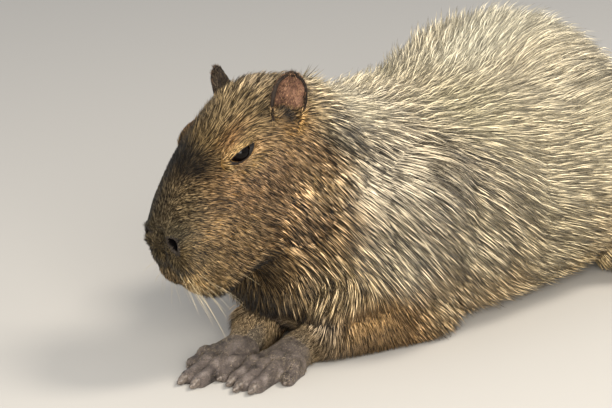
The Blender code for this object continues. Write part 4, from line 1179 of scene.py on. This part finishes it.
def combed(rows, normals):
    lies, sizes = np.empty((len(rows), 3)), np.empty((len(rows), 3))
    for part in inParts(len(rows)):
        weights = blendWeights(rows[part], guideSpots, lieSoftness)
        lies[part], sizes[part] = weights @ guideLies, weights @ guideSizes

    def lay(lie, hair, weight):
        lies[:] += (lie - lies) * weight[:, None]
        sizes[:] += (np.array(shortHairs[hair]) - sizes) * weight[:, None]

    zeros, ones = np.zeros(len(rows)), np.ones(len(rows))
    for side in (1, -1):
        cup, onEar = earNear(rows, side)  # short hair in front of the ear's opening
        near = np.exp(-np.minimum(((cup - (0, -0.006, 0)) / 0.020) ** 2, 9).sum(1))
        sizes[:, 0] += (coatBuild["earFrontLength"] - sizes[:, 0]) * near
        # very short hairs on the lids, laid along them
        local = within(rows, lidPlace(side))
        near = np.exp(-np.minimum((local / (0.03, 0.024, 0.0125)) ** 2, 9).sum(1) ** 1.5)
        along = np.stack([zeros, ones, np.clip(local[:, 2] * 30, -0.4, 0.5)], 1)
        lay(along @ np.array(lidPlace(side).to_3x3()).T, "lid", near * (local[:, 0] * side > faceForms["behindLid"]))
        # the ears' own short hair runs to their margins
        along = np.stack([cup[:, 0] * 22, zeros, ones], 1)
        lay(along @ np.array(earPlace(side).to_3x3()).T, "ear", onEar)
    onFoot, forward, _ = footNear(rows)
    lay(forward, "hand", onFoot)
    lies -= normals * (lies * normals).sum(1, keepdims=True)
    # where the lie parts, hairs stand up and cover the parting
    parting = np.clip(1 - np.linalg.norm(lies, axis=1) / 0.45, 0, 1)
    sizes[:, 1] += parting * 0.75
    return unit(lies), sizes


# triangles of the furred skin, and what grows on each
furSurface.calc_loop_triangles()
corners = readRows(furSurface.loop_triangles, "vertices", kind=np.int32)
count = len(corners)
furPlaces, furNormals = readRows(furSurface.vertices, "co"), readRows(furSurface.vertices, "normal")
a, b, c = (furPlaces[corners[:, k]] for k in range(3))
areas = np.linalg.norm(np.cross(b - a, c - a), axis=1) / 2
middles = (a + b + c) / 3
middleNormals = unit(np.cross(b - a, c - a))
middleSizes = combed(middles, middleNormals)[1]
headMiddles = toHead(middles)

bare = np.zeros(count, bool)
for side in (1, -1):
    local = within(middles, lidPlace(side))
    bare |= (slitReach(local) < faceForms["lidEdges"]["bare"]) & (local[:, 0] * side > faceForms["behindLid"])
    bare |= nostrilReach(headMiddles, side) < faceForms["nostrilEdges"]["bare"]
bare |= middles[:, 2] < 0.004
bare |= (middleNormals[:, 2] < -0.75) & (middles[:, 2] < 0.02)  # the belly, on the floor
density = coatBuild["layers"] / (0.5 * middleSizes[:, 0] * middleSizes[:, 2])
density *= np.where(headMiddles[:, 1] < 0.02, coatBuild["faceShare"], 1.0)
for side in (1, -1):  # thin on the ears, thinnest in their cups
    inside = inEar(middleNormals, side) < earForm["insideFrom"]
    density *= 1 - earNear(middles, side)[1] * np.where(inside, *coatBuild["earThinning"][::-1])
onFoot, _, footShare = footNear(middles)
density *= 1 - onFoot * np.interp(footShare, *coatBuild["handThinning"])
bare |= (onFoot > 0.5) & (middleNormals[:, 2] < -0.2)
density[bare] = 0
expected = areas * density
bentOnes = coatBuild["bentShare"] * (middleSizes[:, 0] > coatBuild["bendFrom"])
straightTriangles, bentTriangles = coatBuild["tuftTriangles"].values()
total = (expected * (straightTriangles + bentOnes * (bentTriangles - straightTriangles))).sum()
share = min(1.0, coatBuild["triangles"] / total)
print("coat wants", int(total), "triangles; grows", round(share, 2), "of it")
tuftCount = int(expected.sum() * share)
cumulative = np.cumsum(expected)
picked = np.minimum(np.searchsorted(cumulative, draw.random(tuftCount) * cumulative[-1]), count - 1)
u, v = draw.random(tuftCount), draw.random(tuftCount)
flip = u + v > 1
u[flip], v[flip] = 1 - u[flip], 1 - v[flip]


def onTriangles(values, ofCorners):
    # what the corners have, at each root
    first, second, third = (values[ofCorners[picked, k]] for k in range(3))
    return first * (1 - u - v)[:, None] + second * u[:, None] + third * v[:, None]


roots = a[picked] + (b - a)[picked] * u[:, None] + (c - a)[picked] * v[:, None]
normals = unit(onTriangles(furNormals, corners))
print("tufts", tuftCount)

# an unwrap of the skin's own shape, for the tufts' bake patches
unwrapItem = addObject("unwrap", furSurface)
bpy.context.view_layer.objects.active = unwrapItem
unwrapItem.select_set(True)
bpy.ops.object.mode_set(mode="EDIT")
bpy.ops.mesh.select_all(action="SELECT")
bpy.ops.uv.smart_project(angle_limit=math.radians(70), island_margin=0.002)
bpy.ops.object.mode_set(mode="OBJECT")
furSurface.calc_loop_triangles()
loops = readRows(furSurface.loop_triangles, "loops", kind=np.int32)
rootFlat = onTriangles(readRows(furSurface.uv_layers.active.data, "uv", 2), loops)
bpy.data.objects.remove(unwrapItem, do_unlink=True)
print("unwrap done")

lies, sizes = combed(roots, normals)
longness = smoothStep(sizes[:, 0], 0.016, 0.040)
spreads = (coatBuild[key] for key in ("lengthSpread", "liftSpread", "widthSpread"))
lengths, lifts, widths = (sizes[:, k] * draw.uniform(*spread, tuftCount) for k, spread in enumerate(spreads))
form = coatBuild["strays"]  # single bristles that stand clear of the coat
strays = draw.random(tuftCount) < form["share"] * longness
lengths[strays] *= form["length"]
lifts[strays] = np.minimum(lifts[strays] * form["lift"] + form["more"], form["steepest"])
widths[strays] *= form["width"]
rootHead = toHead(roots)

sides = np.cross(lies, normals)
yaw = np.radians(np.interp(longness, (0, 1), coatBuild["yaw"])) * draw.standard_normal(tuftCount)
heading = lies * np.cos(yaw)[:, None] + sides * np.sin(yaw)[:, None]
straight = heading * np.cos(lifts)[:, None] + normals * np.sin(lifts)[:, None]
tips = roots + straight * lengths[:, None]

# over a hollow a hair stands up until its tip clears the skin
surfaceTree = BVHTree.FromPolygons([Vector(p) for p in furPlaces], corners.tolist())
clear = np.empty(tuftCount)
for i, tip in enumerate(tips):
    place, normal, _, _ = surfaceTree.find_nearest(Vector(tip))
    clear[i] = (Vector(tip) - place).dot(normal)
wanted = lengths * np.interp(longness, (0, 1), coatBuild["clearance"])
straight = unit(tips + normals * np.clip(wanted - clear, 0, 1.2 * lengths)[:, None] - roots)
tips = roots + straight * lengths[:, None]
print("hairs raised", int((clear < wanted).sum()))

# neighbouring hairs gather into streaks: each leans to the tip of its streak's leader
leaders = draw.choice(tuftCount, max(1, tuftCount // coatBuild["streakTufts"]), replace=False)
tree = KDTree(len(leaders))
for i, k in enumerate(leaders):
    tree.insert(roots[k], i)
tree.balance()
streak = np.array([tree.find(p)[1] for p in roots])
pull = tips[leaders[streak]] - tips
pull *= (np.interp(longness, (0, 1), coatBuild["clump"]) * draw.uniform(0.3, 1.2, tuftCount))[:, None]
limit = 0.35 * lengths / np.maximum(np.linalg.norm(pull, axis=1), 1e-6)
pull *= np.minimum(1, limit)[:, None]

# tone: streak by streak, then hair by hair, from umber to straw; the spread is partly painted sun and shade between
# hairs
meanTone, contrast = coatField(roots, normals)
swing = np.sin(np.pi * (draw.random(tuftCount) - 0.5))  # most hairs are clearly pale or clearly dark
streakShare = coatBuild["streakShare"]
stray = 0.5 * (streakShare * (2 * draw.random(len(leaders))[streak] - 1) + (1 - streakShare) * swing)
toneRange = coatBuild["toneRange"] * contrast
factor = np.exp(toneRange * stray) / np.i0(0.5 * toneRange)
straw = meanTone.mean(1, keepdims=True) * (1.12, 1.0, 0.76)
bleach = np.clip(stray * 0.8, -0.3, 0.3)[:, None] * contrast[:, None]
colours = (meanTone + (straw - meanTone) * bleach) * factor[:, None]
colours *= np.minimum(1, coatBuild["palest"] / colours.max(1, keepdims=True))  # a bleached hair keeps its hue
print("combed")

bent = (sizes[:, 0] > coatBuild["bendFrom"]) & (strays | (draw.random(tuftCount) < coatBuild["bentShare"]))
isFace = (rootHead[:, 1] < 0.03) & (sizes[:, 0] < 0.034) | (sizes[:, 0] < 0.014)


def growTufts(name, chosen, ringCount, material):
    n, per, patch = len(chosen), ringCount * 3 + 1, coatBuild["bakePatch"]
    root, normal, head, base = roots[chosen], normals[chosen], straight[chosen], rootFlat[chosen]
    length, width, lift = lengths[chosen][:, None], widths[chosen][:, None], lifts[chosen][:, None]
    inward, downward = coatBuild["droop"]
    bend = np.sin(lift) * inward

    def at(t):
        droop = -normal * (length * bend * t * t) - np.array([(0, 0, 1)]) * (length * downward * t * t)
        place = root - normal * 0.0010 * (1 - t) + head * length * t + droop + pull[chosen] * t**1.6
        place[:, 2] = np.maximum(place[:, 2], floorGaps["hairs"] * t + floorGaps["roots"] * (1 - t))
        return place

    verts, alongs = np.empty((n, per, 3)), np.empty((n, per), np.float32)
    flats = np.empty((n, per, 2), np.float32)
    for i, (t, w) in enumerate(coatBuild["ringsAt"][ringCount]):
        place, nextPlace = at(t), at(t + 0.05)
        path = unit(nextPlace - place)
        side = unit(np.cross(path, normal))
        up = np.cross(side, path)
        for k, (across, high, flatAcross) in enumerate(((-0.5, 0, -0.5), (0.5, 0, 0.5), (0, 0.42, 0.1))):
            verts[:, i * 3 + k] = place + (side * across + up * high) * width * w
            flats[:, i * 3 + k] = base + np.array([(flatAcross * patch, (t - 0.5) * patch)])
        alongs[:, i * 3:i * 3 + 3] = t
    verts[:, -1], alongs[:, -1] = at(1.0), 1
    flats[:, -1] = base + np.array([(0, patch / 2)])
    verts[:, :, 2] = np.maximum(verts[:, :, 2], floorGaps["fur"])

    # three sides from ring to ring, three to the tip, and the root's end
    last = (ringCount - 1) * 3
    faces = [(i + k, i + 3 + k, i + 3 + (k + 1) % 3, i + (k + 1) % 3) for i in range(0, last, 3) for k in range(3)]
    faces += [(last + k, last + 3, last + (k + 1) % 3) for k in range(3)] + [(0, 1, 2)]
    loopIndex = ((np.arange(n) * per)[:, None] + np.concatenate(faces)[None]).ravel().astype(np.int32)
    starts = np.concatenate([[0], np.cumsum(np.tile([len(face) for face in faces], n))[:-1]]).astype(np.int32)
    mesh = bpy.data.meshes.new(name)
    mesh.vertices.add(n * per)
    mesh.vertices.foreach_set("co", verts.astype(np.float32).ravel())
    mesh.loops.add(len(loopIndex))
    mesh.loops.foreach_set("vertex_index", loopIndex)
    mesh.polygons.add(n * len(faces))
    mesh.polygons.foreach_set("loop_start", starts)
    mesh.update(calc_edges=True)
    mesh.shade_smooth()
    rowTone = np.repeat(np.hstack([colours[chosen], np.ones((n, 1))]), per, axis=0).astype(np.float32)
    mesh.attributes.new("coatTone", "FLOAT_COLOR", "POINT").data.foreach_set("color", rowTone.ravel())
    mesh.attributes.new("along", "FLOAT", "POINT").data.foreach_set("value", alongs.ravel())
    bakeMap = mesh.uv_layers.new(name="OFBake")
    bakeMap.data.foreach_set("uv", flats.reshape(-1, 2)[loopIndex].ravel())
    item = addObject(name, mesh, [material])
    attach(item, "root")
    return n * coatBuild["tuftTriangles"][ringCount]


grown = 0
for label, member, rings, material, slot in (
    ("long_coat", ~isFace & ~bent, 1, bodyHair, "coat"),
    ("bent_coat", ~isFace & bent, 2, bodyHair, "coat"),
    ("face_coat", isFace & ~bent, 1, faceHair, "face_coat"),
    ("bent_face_coat", isFace & bent, 2, faceHair, "face_coat"),
):
    chosen = np.where(member)[0]
    chosen = chosen[np.argsort(roots[chosen, 1], kind="stable")]
    pieces = max(1, math.ceil(len(chosen) * coatBuild["tuftTriangles"][rings] / coatBuild["pieceTriangles"]))
    for i, part in enumerate(np.array_split(chosen, pieces)):
        grown += growTufts(f"{label}_{i + 1}", part, rings, material)
print("coat grown", grown, "triangles")


# ---- whiskers: long pale bristles on the lips

whiskerForm = {
    "rows": 4, "columns": 5, "length": (0.030, 0.064), "width": 0.00034, "rings": 7, "sag": (0.15, 0.40),
    "run": ((0.35, 0.75), (0.15, 0.55), (-0.75, -0.35)),  # outward, back and down, in the head's frame
}
whiskerHair = plainMaterial("whiskerKeratin", "#b9a884", 0.35, 1.55, 0.5)


def addWhisker(shape, root, normal, run, length, sag):
    rings = []
    total = whiskerForm["rings"]
    for i in range(total):
        t = i / (total - 1)
        centre = root - normal * 0.002 + run * length * t + sag * t * t
        path = (run * length + sag * 2 * t).normalized()
        across = path.cross(Vector((0, 0, 1))).normalized()
        width = whiskerForm["width"] / 2 * (1 - t) ** 0.6
        turns = (0, 2.094, 4.189) if i < total - 1 else ()
        turned = [across * math.cos(a) + path.cross(across) * math.sin(a) for a in turns] or [Vector()]
        rings.append([shape.verts.new(centre + d * width) for d in turned])
    shape.faces.new(rings[0][::-1])
    for low, high in zip(rings, rings[1:]):
        for m in range(3):
            n = (m + 1) % 3
            shape.faces.new((low[m], low[n], *([high[0]] if len(high) == 1 else [high[n], high[m]])))


shape = bmesh.new()
for side in (1, -1):
    for row, column in np.ndindex(whiskerForm["rows"], whiskerForm["columns"]):
        aim = np.array([(0.012 + 0.0058 * column) * side, -0.30, -0.056 - 0.012 * row - 0.004 * column])
        aim += draw.normal(0, 0.0016, 3)
        start = Vector(fromHead(aim))
        hit = surfaceTree.ray_cast(start, Vector(headRows @ np.array([0.0, 1.0, 0.0])).normalized())
        if hit[0] is None:
            continue
        length = draw.uniform(*whiskerForm["length"])
        run = np.array([draw.uniform(*ends) for ends in whiskerForm["run"]]) * (side, 1, 1)
        run = (Vector(headRows @ run).normalized() + hit[1] * 0.5).normalized()
        sag = Vector((0, 0, -1)) * length * draw.uniform(*whiskerForm["sag"])
        addWhisker(shape, hit[0], hit[1], run, length, sag)
bmesh.ops.recalc_face_normals(shape, faces=shape.faces[:])
whiskers = addObject("whiskers", meshOf("whiskers", shape), [whiskerHair])
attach(whiskers, "root")
print("whiskers done")


# ---- camera, floor and light

# focal length in pixels of a picture 612 wide
cameraForm = {"place": (1.9053, -2.517, 1.0992), "azimuth": 40, "elevation": 17.5, "focal": 2700, "picture": 612}
azimuth, elevation = math.radians(cameraForm["azimuth"]), math.radians(cameraForm["elevation"])
right = Vector((math.cos(azimuth), math.sin(azimuth), 0))
level = math.cos(elevation)
ahead = Vector((-math.sin(azimuth) * level, math.cos(azimuth) * level, -math.sin(elevation)))
lens = bpy.data.cameras.new("camera")
lens.sensor_width = 36
lens.lens = cameraForm["focal"] / cameraForm["picture"] * lens.sensor_width
camera = addObject("camera", lens)
turn = Matrix((right, right.cross(ahead), -ahead)).transposed().to_4x4()
camera.matrix_world = Matrix.Translation(cameraForm["place"]) @ turn
bpy.context.scene.camera = camera

floorMesh = bpy.data.meshes.new("floor")
floorMesh.from_pydata([(-9, -9, 0), (9, -9, 0), (9, 9, 0), (-9, 9, 0)], [], [(0, 1, 2, 3)])
floor = addObject("floor", floorMesh, [plainMaterial("mattPaper", "#b3b0aa", 0.9, 1.5, 0.1)])

world = bpy.data.worlds.new("studio")
world.use_nodes = True
sky = world.node_tree.nodes["Background"].inputs
sky["Color"].default_value, sky["Strength"].default_value = linear("#dfe3ea"), 0.75
bpy.context.scene.world = world
lamps = {
    "key": {"place": (1.15, 0.65, 2.35), "aim": (0.0, 0.0, 0.15), "size": 0.75, "power": 54, "colour": "#fff6ea"},
    "fill": {"place": (1.9, -2.2, 1.1), "aim": (0.0, -0.1, 0.15), "size": 2.0, "power": 165, "colour": "#fff9f0"},
    "front": {"place": (-1.3, -2.4, 1.3), "aim": (0.0, -0.3, 0.2), "size": 1.6, "power": 12, "colour": "#fff8f0"},
}
for name, lamp in lamps.items():
    light = bpy.data.lights.new(name, "AREA")
    light.size, light.energy = lamp["size"], lamp["power"]
    light.color = linear(lamp["colour"])[:3]
    item = addObject(name, light)
    item.location = lamp["place"]
    item.rotation_mode = "QUATERNION"
    item.rotation_quaternion = (Vector(lamp["aim"]) - Vector(lamp["place"])).to_track_quat("-Z", "Y")
bpy.context.scene.view_settings.view_transform = "Standard"

bpy.context.view_layer.update()
